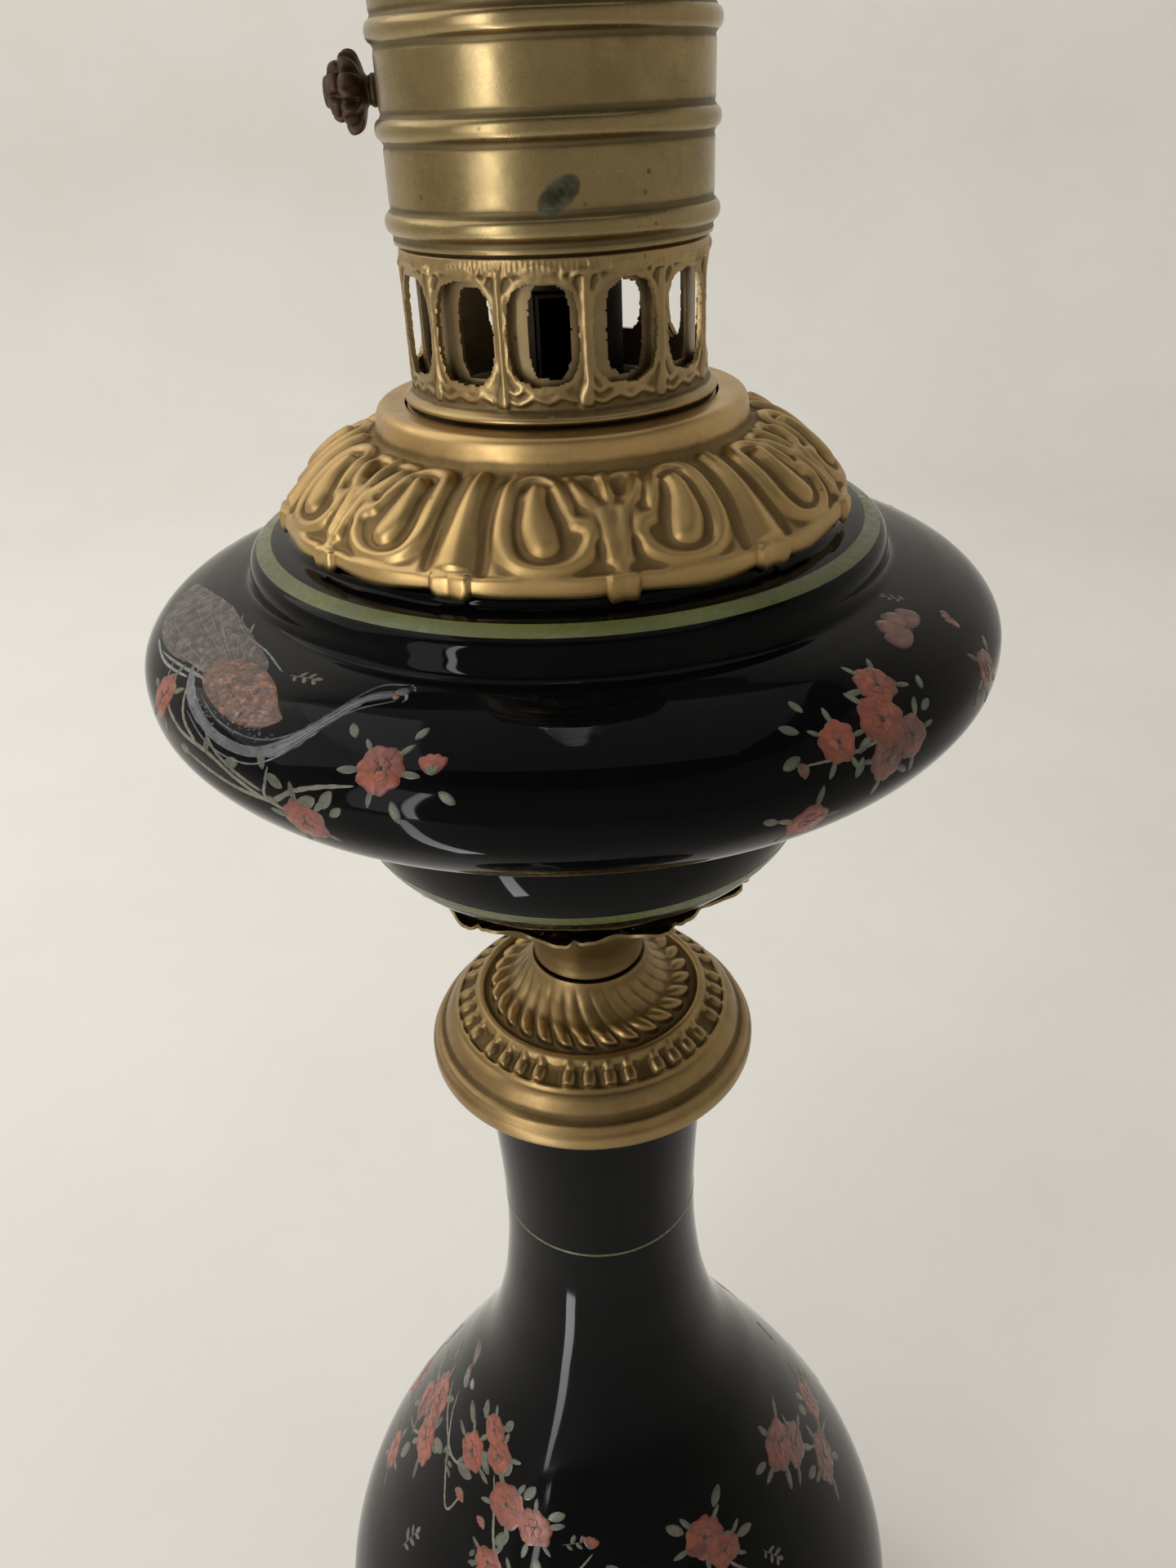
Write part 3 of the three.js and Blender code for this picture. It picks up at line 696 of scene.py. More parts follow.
BAY_AXIS = -5.5  # degrees from the front to the nearest bay's middle
BAY_HALF = (6.8, 9.2)  # half width and half height of an opening
HOLE_AXIS = -3.5  # the basket behind is turned a little from the gallery
HOLE_HALF = (4.0, 8.4)
BAY_CENTRE = 614.2 - 597.8  # above the gallery's lowest edge
BLANK_PANEL = (-108.5, 26)  # the basket's unpierced part behind the key: its middle and half width


def spindle_place():
    """The y and z of the key spindle's axis, in millimetres."""
    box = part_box("key_spindle")
    return (box[0].y + box[1].y) / 2 / MM, (box[0].z + box[1].z) / 2 / MM


def from_spindle(r, z, angle):
    """How far a place on a tube's left side is from the spindle's axis; its right side is never near."""
    y, height = spindle_place()
    return np.hypot(-r * np.cos(np.radians(angle)) - y, z - height) + 9 * (angle > 0)


def oval(x, y, half, power=2.7):
    """Below 1 inside an oval with full sides."""
    return np.abs(x / half[0]) ** power + np.abs(y / half[1]) ** power


def ragged(angle, z, size):
    """A little unevenness in an opening's edge."""
    return size * (np.sin(z * 2.1 + angle * 0.13) + np.sin(z * 3.7 - angle * 0.31) + np.sin(angle * 0.9))


def gallery_ring(material):
    r = radius("gallery_ring") - 0.9
    step, segments = 0.3, 840
    start = [[r + 1.4, 0.3], [r + 2.3, 0.6], [r + 2.4, 1.4], [r + 1.3, 2.2], [r, 3.0]]
    wall = [[r, 3.0], [r, 26.6]]
    top = [[r, 26.6], [r + 0.5, 27.2], [r + 0.5, 29.6], [r - 0.1, 29.9], [r - 0.2, 30.3],
           [r - 0.2, 33.6]]
    line = even(join(curve(outline("gallery_ring", start)), outline("gallery_ring", wall),
                     outline("gallery_ring", top)), step)
    line = soften(line, 0.2, step)
    middle = low("gallery_ring") + BAY_CENTRE

    def relief(u, z, angle):
        x = np.radians(folded(angle, BAYS, BAY_AXIS)) * r
        wrapped = np.where(x < -7.2, x + math.radians(360 / BAYS) * r, x)
        y = z - middle
        post = BAY_RAISED[:2] + BAY_RAISED[4:5]
        height = np.maximum(raised(x, y, BAY_RAISED), raised(wrapped, y, post))
        away = np.abs(oval(x, y, (BAY_HALF[0] + 0.6, BAY_HALF[1] + 0.7)) - 1) * 3.0
        height = 0.8 * np.maximum(height, 0.45 * bump(away, 1.0))
        milled = 0.22 * np.clip(np.cos(np.radians(angle) * 190) * 1.6, -1, 1) * bump(y - 11.9, 0.9)
        grit = 0.05 * np.sin(z * 2.1 + np.sin(angle * 0.5) * 2) * np.sin(angle * 1.1 + z)
        seam = 0.45 * bump(folded(angle, 1, BAY_AXIS + 16.6) * 0.54, 0.35)
        inside = smoothstep(y, -14, -13.2) * smoothstep(y, 13.4, 12.8)
        return blur(blur((height + milled + grit + seam) * inside, 1.0), 1.1, axis=1, wrap=True)

    def keep(z, angle):
        x = np.radians(folded(angle, BAYS, BAY_AXIS)) * r
        return oval(x, z - middle, BAY_HALF, 3.0) + ragged(angle, z, 0.035) > 1

    return pressed("gallery_ring_pierced", "gallery_ring", line, 1.0, segments, material,
                   relief=relief, keep=keep)


def burner_basket(material):
    r = radius("burner_basket") + 1.1
    node = "burner_basket"
    top = high(node) - low(node)
    line = even(outline(node, [[r, 0], [r, top - 0.6], [r - 0.3, top]]), 0.4)
    middle = low("gallery_ring") + BAY_CENTRE

    def keep(z, angle):
        x = np.radians(folded(angle, BAYS, HOLE_AXIS)) * r
        solid = oval(x, z - middle, HOLE_HALF, 3.2) + ragged(angle, z, 0.05) > 1
        solid = solid | (np.abs(folded(angle, 1, BLANK_PANEL[0])) < BLANK_PANEL[1])
        return solid & (from_spindle(r, z, angle) > 2.2)

    return pressed("burner_basket_pierced", node, line, 0.7, 560, material, keep=keep)


def upper_sleeve(material):
    node = "upper_sleeve"
    r = radius(node) - 1.2
    top = high(node) - low(node)
    pairs = [[r - 0.2, 0]]
    for height in (3.9, 19.7, 35.4):
        pairs += [[r, height - 3.2], [r - 0.25, height - 2.7], [r, height - 2.1]]
        for c, s in (heading(turn) for turn in np.linspace(-80, 80, 9)):
            pairs.append([r + 1.2 * c, height + 1.9 * s])
        pairs += [[r, height + 2.1], [r - 0.25, height + 2.7], [r, height + 3.2]]
    pairs += [[r, top - 0.8], [r - 0.25, top - 0.2], [r - 0.6, top]]
    line = even(outline(node, pairs), 0.25)
    line = soften(line, 0.22, 0.25)

    def relief(u, z, angle):
        """The sheet was spun by hand, so it is never quite round."""
        sway = 0.03 * np.sin(np.radians(angle * 7) + z * 0.1)
        return 0.05 * np.sin(np.radians(angle * 3) + 1.0) + sway

    def keep(z, angle):
        return from_spindle(r, z, angle) > 2.8

    return pressed("upper_sleeve_beaded", node, line, 0.9, 400, material, relief=relief, keep=keep)


GADROONS = 28
BEAD_GROUPS = 9
BEAD_PITCH = 8.9  # degrees between the four pegs of a group


def gadroons(share, angle, count, twist, fat):
    """Twisted gadroons: share is 0 at their round lower ends and 1 where they end at the top."""
    side = folded(angle + twist * share, count) / (180 / count)
    body = 1 - np.abs(side) ** 2.2
    ends = smoothstep(share, 0.02 + 0.09 * side**2, 0.12 + 0.12 * side**2)
    tall = fat * (1 - smoothstep(share, 0.24, 0.5)) + 0.34
    return body * ends * tall * smoothstep(share, 1.02, 0.8)


def neck_disc(material):
    edge = [[44.8, 0], [45.7, 0.3], [46.0, 1.2], [46.1, 2.6], [46.0, 4.2], [45.3, 5.0]]
    cyma = [[45.3, 5.0], [44.9, 6.2], [44.4, 7.1], [43.1, 7.7], [42.3, 8.6], [41.5, 10.4], [40.5, 12.0],
            [39.4, 13.1]]
    channel = [[39.4, 13.1], [38.9, 13.4], [38.4, 14.3], [37.8, 14.6], [37.2, 14.0], [35.4, 14.9],
               [33.6, 16.2], [33.1, 17.3], [32.5, 18.7], [31.5, 19.5], [30.5, 19.3], [29.9, 18.5]]
    neck = [[29.9, 18.5], [28.9, 18.0], [27.6, 18.5], [25.0, 20.3], [22.0, 22.1], [19.6, 24.2],
            [18.0, 26.0], [16.4, 28.7], [15.7, 30.7]]
    line = drawn("neck_disc", (edge, cyma, channel, neck), 0.28, 0.2)
    far = lengths(line)

    def relief(u, z, angle):
        r = np.interp(u, far, line[:, 0])
        share = (28.6 - r) / (28.6 - 15.8)
        height = gadroons(share, angle, GADROONS, 22, 1.55) * (share > 0)
        near = folded(angle, BEAD_GROUPS, 2.0)
        bead = (np.clip(np.round(near / BEAD_PITCH - 0.5), -2, 1) + 0.5) * BEAD_PITCH
        x = np.radians(near - bead) * r
        peg = 1 - np.abs(x / 2.1) ** 2.4 - np.abs((r - 35.3) / 2.7) ** 2.2
        height = height + 1.5 * np.clip(peg, 0, 1) ** 0.6
        return blur(blur(height, 1.2), 1.6, axis=1, wrap=True)

    return pressed("neck_disc_gadrooned", "neck_disc", line, 0.9, 1152, material, relief=relief)


LEAVES = 12


def leaf_cup(material):
    stem = [[15.0, 0], [15.2, 3.0], [16.2, 7.5], [18.4, 12.0], [22.5, 17.4], [28.0, 22.8], [34.0, 27.4],
            [39.0, 31.2], [43.4, 34.9], [46.6, 37.4]]
    line = curve(outline("leaf_cup", stem), 0.45)
    whole = lengths(line)[-1]
    bowl = 12.0

    def leaf(angle):
        phase = folded(angle, LEAVES, -4.0)
        return phase, 0.5 + 0.5 * np.cos(np.radians(phase * LEAVES))

    def relief(u, z, angle):
        share = np.clip((u - bowl) / (whole - bowl), 0, 1)
        phase, tip = leaf(angle)
        x = np.radians(phase) * (16 + 34 * share)
        vein = -0.75 * bump(x, 0.9) + 0.5 * bump(np.abs(x) - 1.9, 1.1)
        folds = 0.3 * np.cos(np.radians(phase) * 36 + 9 * share) * share
        between = -0.8 * (1 - tip) ** 6
        return (0.6 * vein * share**0.6 + folds + between * share) * smoothstep(share, 0.0, 0.25)

    def curl(r, z, angle, u):
        share = np.clip((u - bowl) / (whole - bowl), 0, 1)
        phase, tip = leaf(angle)
        hand = 0.5 * np.sin(np.radians(angle * 5) + 1) + 0.4 * np.sin(np.radians(angle * 7))
        back = 2.9 * (1 - tip) ** 3 * share**3
        over = smoothstep(share, 0.88, 1.0) * (0.35 + 0.65 * tip)
        skew = 0.7 * np.sin(np.radians(phase * LEAVES)) * share**4
        sides = smoothstep(np.abs(folded(angle, 1, 0)), 50, 85)
        r = r + (0.4 + 0.6 * hand) * share**3 - back * 0.9 - 1.6 * sides * share**3
        z = z + (0.5 * tip + 0.5 * hand + skew) * share**3 - back * 0.6 - (1.0 + 0.6 * hand) * over**2
        return r, z - 2.4 * sides * share**3

    return pressed("leaf_cup_ruffled", "leaf_cup", line, 0.7, 720, material, relief=relief, shape=curl)


def foot(material):
    edge = [[84.6, 0], [87.2, 0.5], [88, 2.3], [87.5, 4.4], [85.4, 6.2], [83.2, 7.0]]
    cove = [[83.2, 7.0], [81.8, 7.6], [81.2, 9.4], [80.6, 10.2], [79.4, 10.4]]
    dome = [[79.4, 10.4], [78.4, 13.5], [74.6, 19.4], [68.6, 25.2], [61.6, 29.6], [54.6, 32.6],
            [50.6, 33.4]]
    collar = [[50.6, 33.4], [49.6, 34.6], [48.2, 35.0], [46.6, 34.6], [45.4, 35.6], [43.2, 39.0],
              [41.2, 43.2], [40.8, 46.4], [42.0, 49.4], [45.8, 52.8], [51.6, 56.2], [56.8, 58.8],
              [58.4, 60.0]]
    lip = [[58.4, 60.0], [58.5, 60.5], [57.6, 60.6], [56.2, 60.0], [53.6, 58.5], [50, 57.9], [7, 57.9]]
    line = drawn("base_foot", (edge, cove, dome, collar, lip), 0.7, 0.4)
    far = lengths(line)
    below_seat = far[np.argmax(line[:, 1])]

    def relief(u, z, angle):
        r = np.interp(u, far, line[:, 0])
        share = (79.0 - r) / (79.0 - 51.0)
        height = gadroons(share, angle, 40, 12, 2.2) * (share > 0) * (u < below_seat * 0.6)
        near = folded(angle, 72)
        peg = 1 - (np.radians(near) * r / 1.6) ** 2 - ((z - low("base_foot") - 8.6) / 1.5) ** 2
        height = height + 1.1 * np.sqrt(np.clip(peg, 0, 1)) * (r > 78)
        flute = np.cos(np.radians(angle) * 48)
        waist = smoothstep(z, 36.5, 39.0) * smoothstep(z, 54.0, 51.0) * (u < below_seat)
        return blur(height + 0.45 * flute * waist, 0.7)

    return pressed("base_foot_gadrooned", "base_foot", line, 1.0, 800, material, relief=relief)


FINGERS = 12


def chimney_crown(material):
    """A flanged seat with a ring of sprung fingers standing in it."""
    node = "chimney_crown"
    r = radius(node)
    seat = [[22.5, 0], [28.3, 0], [28.5, 0.4], [28.5, 1.9], [r - 0.4, 1.9], [r, 2.2], [r, 2.8],
            [r - 0.4, 3.2], [29.2, 3.3], [28.8, 4.4], [27.7, 4.4], [27.7, 1.2], [22.5, 1.2]]
    loop = rounded_loop(outline(node, seat), 0.3, 0.16)
    turned("chimney_crown_seat", node, loop, 320, material)
    finger = [[28.55, 3.4], [28.6, 6.0], [28.45, 11.0], [28.4, 15.6], [29.0, 18.2], [29.9, 19.6]]
    line = curve(outline(node, finger), 0.25)
    foot_z = low(node) + 5.4

    def keep(z, angle):
        side = np.radians(folded(angle, FINGERS, 15)) * 28.5
        up = z - foot_z
        wide = 0.75 + 1.5 * smoothstep(up, 11.5, 14.2) ** 2
        slot = (np.abs(side) < wide) & (up > 0.8)
        return ~(slot | (np.hypot(side, up - 0.9) < 1.1))

    def relief(u, z, angle):
        side = folded(angle, FINGERS, 0) / (180 / FINGERS)
        rib = 0.35 * bump(side, 0.22) * smoothstep(u, 2.0, 4.0) * smoothstep(u, 15.0, 13.0)
        return rib + 0.12 * np.sin(np.radians(angle) * 5 + 0.7) * smoothstep(u, 3.0, 15.0)

    return pressed("chimney_crown_fingers", node, line, 0.7, 960, material, relief=relief, keep=keep)


# ---------- Glass ----------


def wall_loop(outer, wall):
    """The closed outline of a glass vessel whose wall has the same thickness all the way up."""
    inner = outer - outward(outer) * wall
    return np.vstack([outer, inner[::-1]])


VASE_OUTLINE = [[50, 0], [63, 4], [79, 15], [92.5, 32], [102, 51], [106.6, 74], [105.6, 90], [98, 113],
                [85, 139], [70, 165], [55, 191], [42, 217], [34.5, 243], [31, 268], [30, 290],
                [30.7, 316], [33.4, 354]]
FONT_BOWL = [[26, 0], [34, 1.2], [43, 5], [50, 10.6], [54.3, 15.2], [56.8, 20.4], [58.6, 26.6],
             [59.7, 33], [60.1, 39.2]]
FONT_BELLY = [[60.1, 39.2], [61.6, 41], [66, 42.5], [81, 48.5], [90, 54.2], [95.3, 61], [96.5, 67],
              [95.4, 72.2], [91, 77], [84, 80.4], [77, 82.3], [72.6, 83.2]]
FONT_STEP = [[72.6, 83.2], [71.6, 83.8], [71.0, 85.2], [70.8, 87.2]]
FONT_TOP = [[70.8, 87.2], [70.3, 89.0], [69.0, 90.3], [65.5, 91.7], [61.6, 92.4]]
FONT_RIM = [[61.6, 92.4], [60.9, 92.9], [60.6, 94.4], [58.6, 94.4]]
FONT_INSIDE = [[58.6, 94.4], [58.6, 88], [64.5, 80.5], [76, 77.5], [88, 72.5], [92, 66], [88, 59.5],
               [77, 52], [57.5, 44.5], [56, 37], [52, 23.5], [38, 8.4], [26, 4.5], [6, 4.5], [6, 0],
               [26, 0]]


VASE_WALL = 4.0
CHIMNEY_WALL = 1.6


def vase_line():
    """The vase's outer side, from its foot to its lip."""
    return curve(outline("vase", VASE_OUTLINE), 1.6)


def vase(material):
    outer = vase_line()
    inner = (outer - outward(outer) * VASE_WALL)[::-1]
    above_floor = inner[inner[:, 1] > low("vase") + 6]
    lip = outline("vase", [[33.0, 354], [30.2, 354]])
    floor = outline("vase", [[46, 5], [6, 5], [6, 0], [50, 0]])
    loop = np.vstack([outer[:-1], lip, above_floor[1:], even(floor, 2.0)[:-1]])
    return turned("vase_blown", "vase", loop, 288, material)


def font_line():
    """The font's outer side, from its foot to its rim."""
    parts = [curve(outline("font", part), 0.8) for part in (FONT_BOWL, FONT_BELLY, FONT_STEP, FONT_TOP)]
    return soften(even(join(*parts, outline("font", FONT_RIM)), 0.6), 0.45, 0.6)


def font(material):
    inside = soften(even(outline("font", FONT_INSIDE), 1.2), 1.6, 1.2)
    loop = np.vstack([font_line(), inside[1:-1]])
    return turned("font_blown", "font", loop, 320, material)


def chimney(material):
    node = "chimney"
    r = radius(node)
    pairs = [[r, 0], [r, 14], [r - 0.1, 25], [25.4, 31], [22.4, 35], [19.9, 38.6], [19.4, 42.5],
             [20.4, 48], [21.6, 56], [21.9, 70], [20.6, 112], [18.4, 170], [17.2, 220], [17, 242]]
    loop = wall_loop(curve(outline(node, pairs), 1.2), CHIMNEY_WALL)
    return turned("chimney_blown", node, rounded_loop(loop, 0.8, 0.5), 192, material)


def glass_ring(name, node, line, start, end, material, proud=0.06, deep=0.25):
    """A painted band between two heights along a glass outline, lying on the glass."""
    part = line[(line[:, 1] >= start) & (line[:, 1] <= end)]
    normal = outward(part)
    over, under = part + normal * proud, part - normal * deep
    loop = np.vstack([over, under[::-1]])
    return turned(name, node, loop, 320, material)


# ---------- Key, wick and small parts ----------


def along_x(piece):
    """Turns a piece made about Z so that it lies about the key's spindle, its own +Z towards -X."""
    y, z = (length * MM for length in spindle_place())
    piece.data.transform(Matrix(((0, 0, -1, 0), (0, 1, 0, y), (1, 0, 0, z), (0, 0, 0, 1))))
    return piece


BIG_PETALS = 7
SMALL_PETALS = 6
KNOB_SEGMENTS = 256


def key_knob(material):
    """A cast bud with two rows of curling petals, seen mostly from its edge.

    Its rows are (radius, share of the way out from the spindle's end), for a knob of radius 7.6.
    """
    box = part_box("key_knob")
    outer_x, inner_x = -box[0].x / MM, -box[1].x / MM
    full = (box[1].y - box[0].y) / 2 / MM
    rows = [(1.9, 0.0), (2.7, 0.05), (3.1, 0.14), (2.6, 0.22), (3.4, 0.28), (5.2, 0.33), (6.9, 0.40),
            (7.6, 0.50), (7.4, 0.60), (6.4, 0.66), (5.3, 0.67), (5.5, 0.76), (4.9, 0.86), (3.6, 0.90),
            (3.0, 0.93), (2.6, 0.98), (1.4, 1.0), (0.0, 1.0)]
    profile = curve(rows, 0.06)
    profile[:, 0] = np.clip(profile[:, 0], 0, None) * full / 7.6
    share = profile[:, 1:2]
    angle = all_round(KNOB_SEGMENTS)
    big = np.abs(folded(angle, BIG_PETALS, 8)) / (180 / BIG_PETALS)
    small = np.abs(folded(angle, SMALL_PETALS, 20)) / (180 / SMALL_PETALS)
    lower = bump(share - 0.5, 0.2)
    upper = bump(share - 0.78, 0.16)
    notch = 1 - 0.30 * lower * smoothstep(big, 0.55, 1.0) - 0.26 * upper * smoothstep(small, 0.5, 1.0)
    dent = 1 - 0.10 * lower * bump(big, 0.3) + 0.05 * np.sin(np.radians(angle * 3 + 40)) * lower
    r = profile[:, 0:1] * notch * dent
    sag = 0.05 * lower * np.cos(np.radians(angle * 7 - 56))
    x = inner_x + (outer_x - inner_x) * (share + sag)
    points = placed(r, x, angle).reshape(-1, 3)
    faces = grid_faces(len(profile), KNOB_SEGMENTS).reshape(-1, 4)
    end = tuple(range(KNOB_SEGMENTS))[::-1]
    piece = new_piece("key_knob_cast", points, [tuple(f) for f in faces] + [end], "key_knob", material,
                      ["key_knob"], sharp=60)
    add_value(piece, "relief", 2.4 * (notch * dent - 0.86))
    along_x(piece)
    clean(piece.data, TIP_GAP, facing=True)
    return piece


def spindle_bush(material):
    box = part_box("spindle_bush")
    start, end = -box[1].x / MM, -box[0].x / MM
    loop = np.array([[1.8, start], [2.6, start], [2.6, end - 2.1], [4.2, end - 2.1], [4.2, end - 0.5],
                     [3.7, end], [1.8, end]])
    piece = turned("spindle_bush_turned", "spindle_bush", rounded_loop(loop, 0.15, 0.12), 96, material)
    return along_x(piece)


WICK_THICK = 1.9
WICK_HALF = 150  # degrees from the band's middle, at the back, to its edges
CHARRED = 9  # how far down from its top the band is burnt


def wick(material):
    """A flat woven band rolled into a split tube, with a ragged burnt top."""
    bottom, top, outer = low("wick"), high("wick"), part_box("wick")[1].x / MM
    rows, columns = 300, 241
    angles = np.linspace(-WICK_HALF, WICK_HALF, columns)[None, :] + 180
    share = np.linspace(0, 1, rows)[:, None]
    frayed = 0.5 * np.sin(np.radians(angles * 9)) + 0.35 * np.sin(np.radians(angles * 23 + 40))
    height = bottom + (top - 0.8 - bottom) * share + 0.7 * frayed * smoothstep(share, 0.97, 1.0)
    weave = 0.09 * np.sin(np.radians(angles * 60)) * np.sin(height * 3.1)
    ribs = 0.07 * np.cos(np.radians(angles * 120))
    selvedge = 0.12 * (bump(angles - 180 + WICK_HALF, 4) + bump(angles - 180 - WICK_HALF, 4))
    r_out = outer - 0.16 + (weave + ribs) * 0.8 - selvedge
    r_in = outer - WICK_THICK - (weave + ribs) * 0.8 + selvedge
    points = np.vstack([placed(r, height, angles).reshape(-1, 3) for r in (r_out, r_in)])
    faces = both_sides(open_grid(rows, columns), rows * columns)
    piece = new_piece("wick_woven", points, faces, "wick", material, ["wick"], sharp=70)
    burnt = smoothstep(height, top - CHARRED, top)
    add_value(piece, "char", np.tile(burnt.ravel(), 2))
    return piece


def tube_with_windows(node, material):
    """The outer wick tube, open for the feed wheels behind and for the air duct in front."""
    r = radius(node)
    top = high(node) - low(node)
    line = even(outline(node, [[r, 0], [r, top - 0.4], [r - 0.25, top]]), 0.5)
    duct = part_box("inner_air_tube")[0].y / MM
    wheel_low, wheel_high = low("wheel_box") + 1.5, high("wheel_box") - 1.5
    duct_low = low("inner_air_tube") + 1.7
    duct_high = low("inner_air_tube") + 19.3

    def keep(z, angle):
        back = np.abs(folded(angle, 1, 180)) * math.radians(1) * r
        front = np.abs(folded(angle, 1, 0)) * math.radians(1) * r
        wheels = (back < 6.4) & (z > wheel_low) & (z < wheel_high)
        air = (front < 4.9) & (z > duct_low) & (z < duct_high) & (duct < -r)
        return ~(wheels | air)

    return pressed(node + "_slotted", node, line, 0.7, 240, material, keep=keep)


def shade_cad(node, material):
    """Gives a CAD node its finish, and shades its round faces smooth."""
    mesh = NODES[node].data
    mesh.materials.clear()
    mesh.materials.append(material)
    mesh.shade_smooth()
    mesh.set_sharp_from_angle(angle=math.radians(40))
    if "relief" not in mesh.attributes:
        mesh.attributes.new("relief", "FLOAT", "POINT")


# ---------- Enamel flowers and birds ----------


CORAL = (0.29, 0.074, 0.042)
ROSE = (0.22, 0.085, 0.06)
ORANGE = (0.30, 0.125, 0.055)
CREAM = (0.40, 0.25, 0.16)
LEAF = (0.12, 0.125, 0.085)
TWIG = (0.19, 0.185, 0.135)
FEATHER = (0.13, 0.145, 0.16)
PALE = (0.24, 0.25, 0.26)
TAIL = (0.16, 0.115, 0.10)
DARK_EYE = (0.03, 0.035, 0.03)
SUNK = -0.05  # how far above the glass an edge of the enamel ends, so that no gap shows


def laid(x, y, along, side, turn):
    """An outline's lengths along and across as places, from x, y towards turn degrees from +x."""
    c, s = heading(turn)
    return np.stack([x + along * c - side * s, y + along * s + side * c], axis=1)


def petal(x, y, length, width, turn, notch=0.16):
    """An outline that is broad at its far end, and notched there."""
    t = np.linspace(0, TURN, 18, endpoint=False)
    along = length * ((1 - np.cos(t)) / 2 - notch * np.exp(-(((t - math.pi) / 0.4) ** 2)))
    side = width / 2 * np.sin(t) * (1 - 0.3 * np.cos(t))
    return laid(x, y, along, side, turn)


def blade(x, y, length, width, turn):
    """An outline pointed at both ends."""
    t = np.linspace(0, TURN, 16, endpoint=False)
    along = length * (1 - np.cos(t)) / 2
    side = width / 2 * np.sin(t) * np.abs(np.sin(t)) ** 0.4
    return laid(x, y, along, side, turn)


class Paint:
    """Enamel on turned glass: low domes and brush strokes, drawn flat round a place on the glass."""

    def __init__(self, line):
        self.line, self.far, self.normal = line, lengths(line), outward(line)
        self.points, self.faces, self.colours = [], [], []
        self.random = np.random.default_rng(11)

    def at(self, angle, z):
        """The place that x millimetres round and y millimetres up are measured from."""
        self.angle = angle
        self.u = np.interp(z, self.line[:, 1], self.far)
        self.r = np.interp(self.u, self.far, self.line[:, 0])

    def flat(self, angle, z):
        """A place on the glass as x and y."""
        u = np.interp(z, self.line[:, 1], self.far)
        return math.radians(angle - self.angle) * self.r, u - self.u

    def add(self, flat, height, colour):
        """Points at places x, y and at a height above the glass."""
        u = self.u + flat[:, 1]
        r, z, out, up = (np.interp(u, self.far, v) for v in (*self.line.T, *self.normal.T))
        angle = self.angle + np.degrees(flat[:, 0] / self.r)
        self.points += list(placed(r + out * height, z + up * height, angle))
        self.colours += list(np.broadcast_to(colour, (len(flat), 3)))

    def blob(self, rim, colour, tall=0.12, edge=0.72):
        """A low dome of enamel inside a closed outline."""
        rim = np.asarray(rim, float)
        nxt = np.roll(rim, -1, axis=0)
        if (rim[:, 0] * nxt[:, 1] - nxt[:, 0] * rim[:, 1]).sum() < 0:
            rim = rim[::-1]
        middle = rim.mean(axis=0)
        start, count = len(self.points), len(rim)
        tone = np.array(colour)
        rings = ((1, SUNK, edge), (0.9, 0.7 * tall, edge), (0.62, tall, 1), (0.3, tall, 1.1))
        for size, height, shade in rings:
            self.add(middle + (rim - middle) * size, height, tone * shade)
        self.add(middle[None], tall, tone * 1.1)
        self.add(middle[None], SUNK, tone)
        for j in range(count):
            k = (j + 1) % count
            for ring in range(3):
                low_ring, high_ring = start + ring * count, start + (ring + 1) * count
                self.faces.append((low_ring + j, low_ring + k, high_ring + k, high_ring + j))
            self.faces.append((start + 3 * count + j, start + 3 * count + k, start + 4 * count))
            self.faces.append((start + k, start + j, start + 4 * count + 1))

    def stroke(self, points, colour, tall=0.09):
        """A brush stroke through points of (x, y, half width)."""
        path = curve(points, 0.4)
        along = np.gradient(path[:, :2], axis=0)
        along /= np.linalg.norm(along, axis=1, keepdims=True) + 1e-9
        side = np.stack([along[:, 1], -along[:, 0]], axis=1)
        share = np.linspace(-1, 1, len(path))[:, None]
        wide = path[:, 2:3] * np.sqrt(np.clip(1 - share**10, 0.04, 1))
        wide = wide * (1 + 0.12 * np.sin(5 * share * len(path) ** 0.5))
        start, count = len(self.points), len(path)
        tone = np.array(colour)
        for offset, height, shade in ((-1, SUNK, 0.75), (0, tall, 1.1), (1, SUNK, 0.75)):
            self.add(path[:, :2] + side * wide * offset, height, tone * shade)
        left, top, right = start, start + count, start + 2 * count
        for i in range(count - 1):
            for a, b in ((left, top), (top, right), (right, left)):
                self.faces.append((a + i, b + i, b + i + 1, a + i + 1))
        self.faces.append((left, right, top))
        self.faces.append((left + count - 1, top + count - 1, right + count - 1))

    def patch(self, left, right, colours, steps=80, across=18, tall=0.05):
        """A mottled area of thin enamel between two lines through places of (angle, z)."""
        self.at(*np.mean(left + right, axis=0))
        share = np.linspace(0, 1, steps)
        sides = []
        for places in (left, right):
            line = curve([self.flat(*p) for p in places], 0.3)
            far = lengths(line) / lengths(line)[-1]
            sides.append(np.stack([np.interp(share, far, line[:, i]) for i in (0, 1)], axis=1))
        t = np.linspace(0, 1, across)[None, :, None]
        flat = (sides[0][:, None] * (1 - t) + sides[1][:, None] * t).reshape(-1, 2)
        inside = np.zeros((steps, across), bool)
        inside[1:-1, 1:-1] = True
        inside = inside.ravel()
        pick = self.random.integers(0, len(colours), len(flat))
        tone = np.array(colours)[pick] * self.random.uniform(0.45, 1.15, (len(flat), 1))
        top, under = len(self.points), len(self.points) + len(flat)
        self.add(flat, np.where(inside, tall, SUNK), tone)
        self.add(flat, SUNK - 0.01, tone)
        for quad in open_grid(steps, across).tolist():
            self.faces.append(tuple(top + k for k in quad))
            self.faces.append(tuple((under if inside[k] else top) + k for k in quad[::-1]))

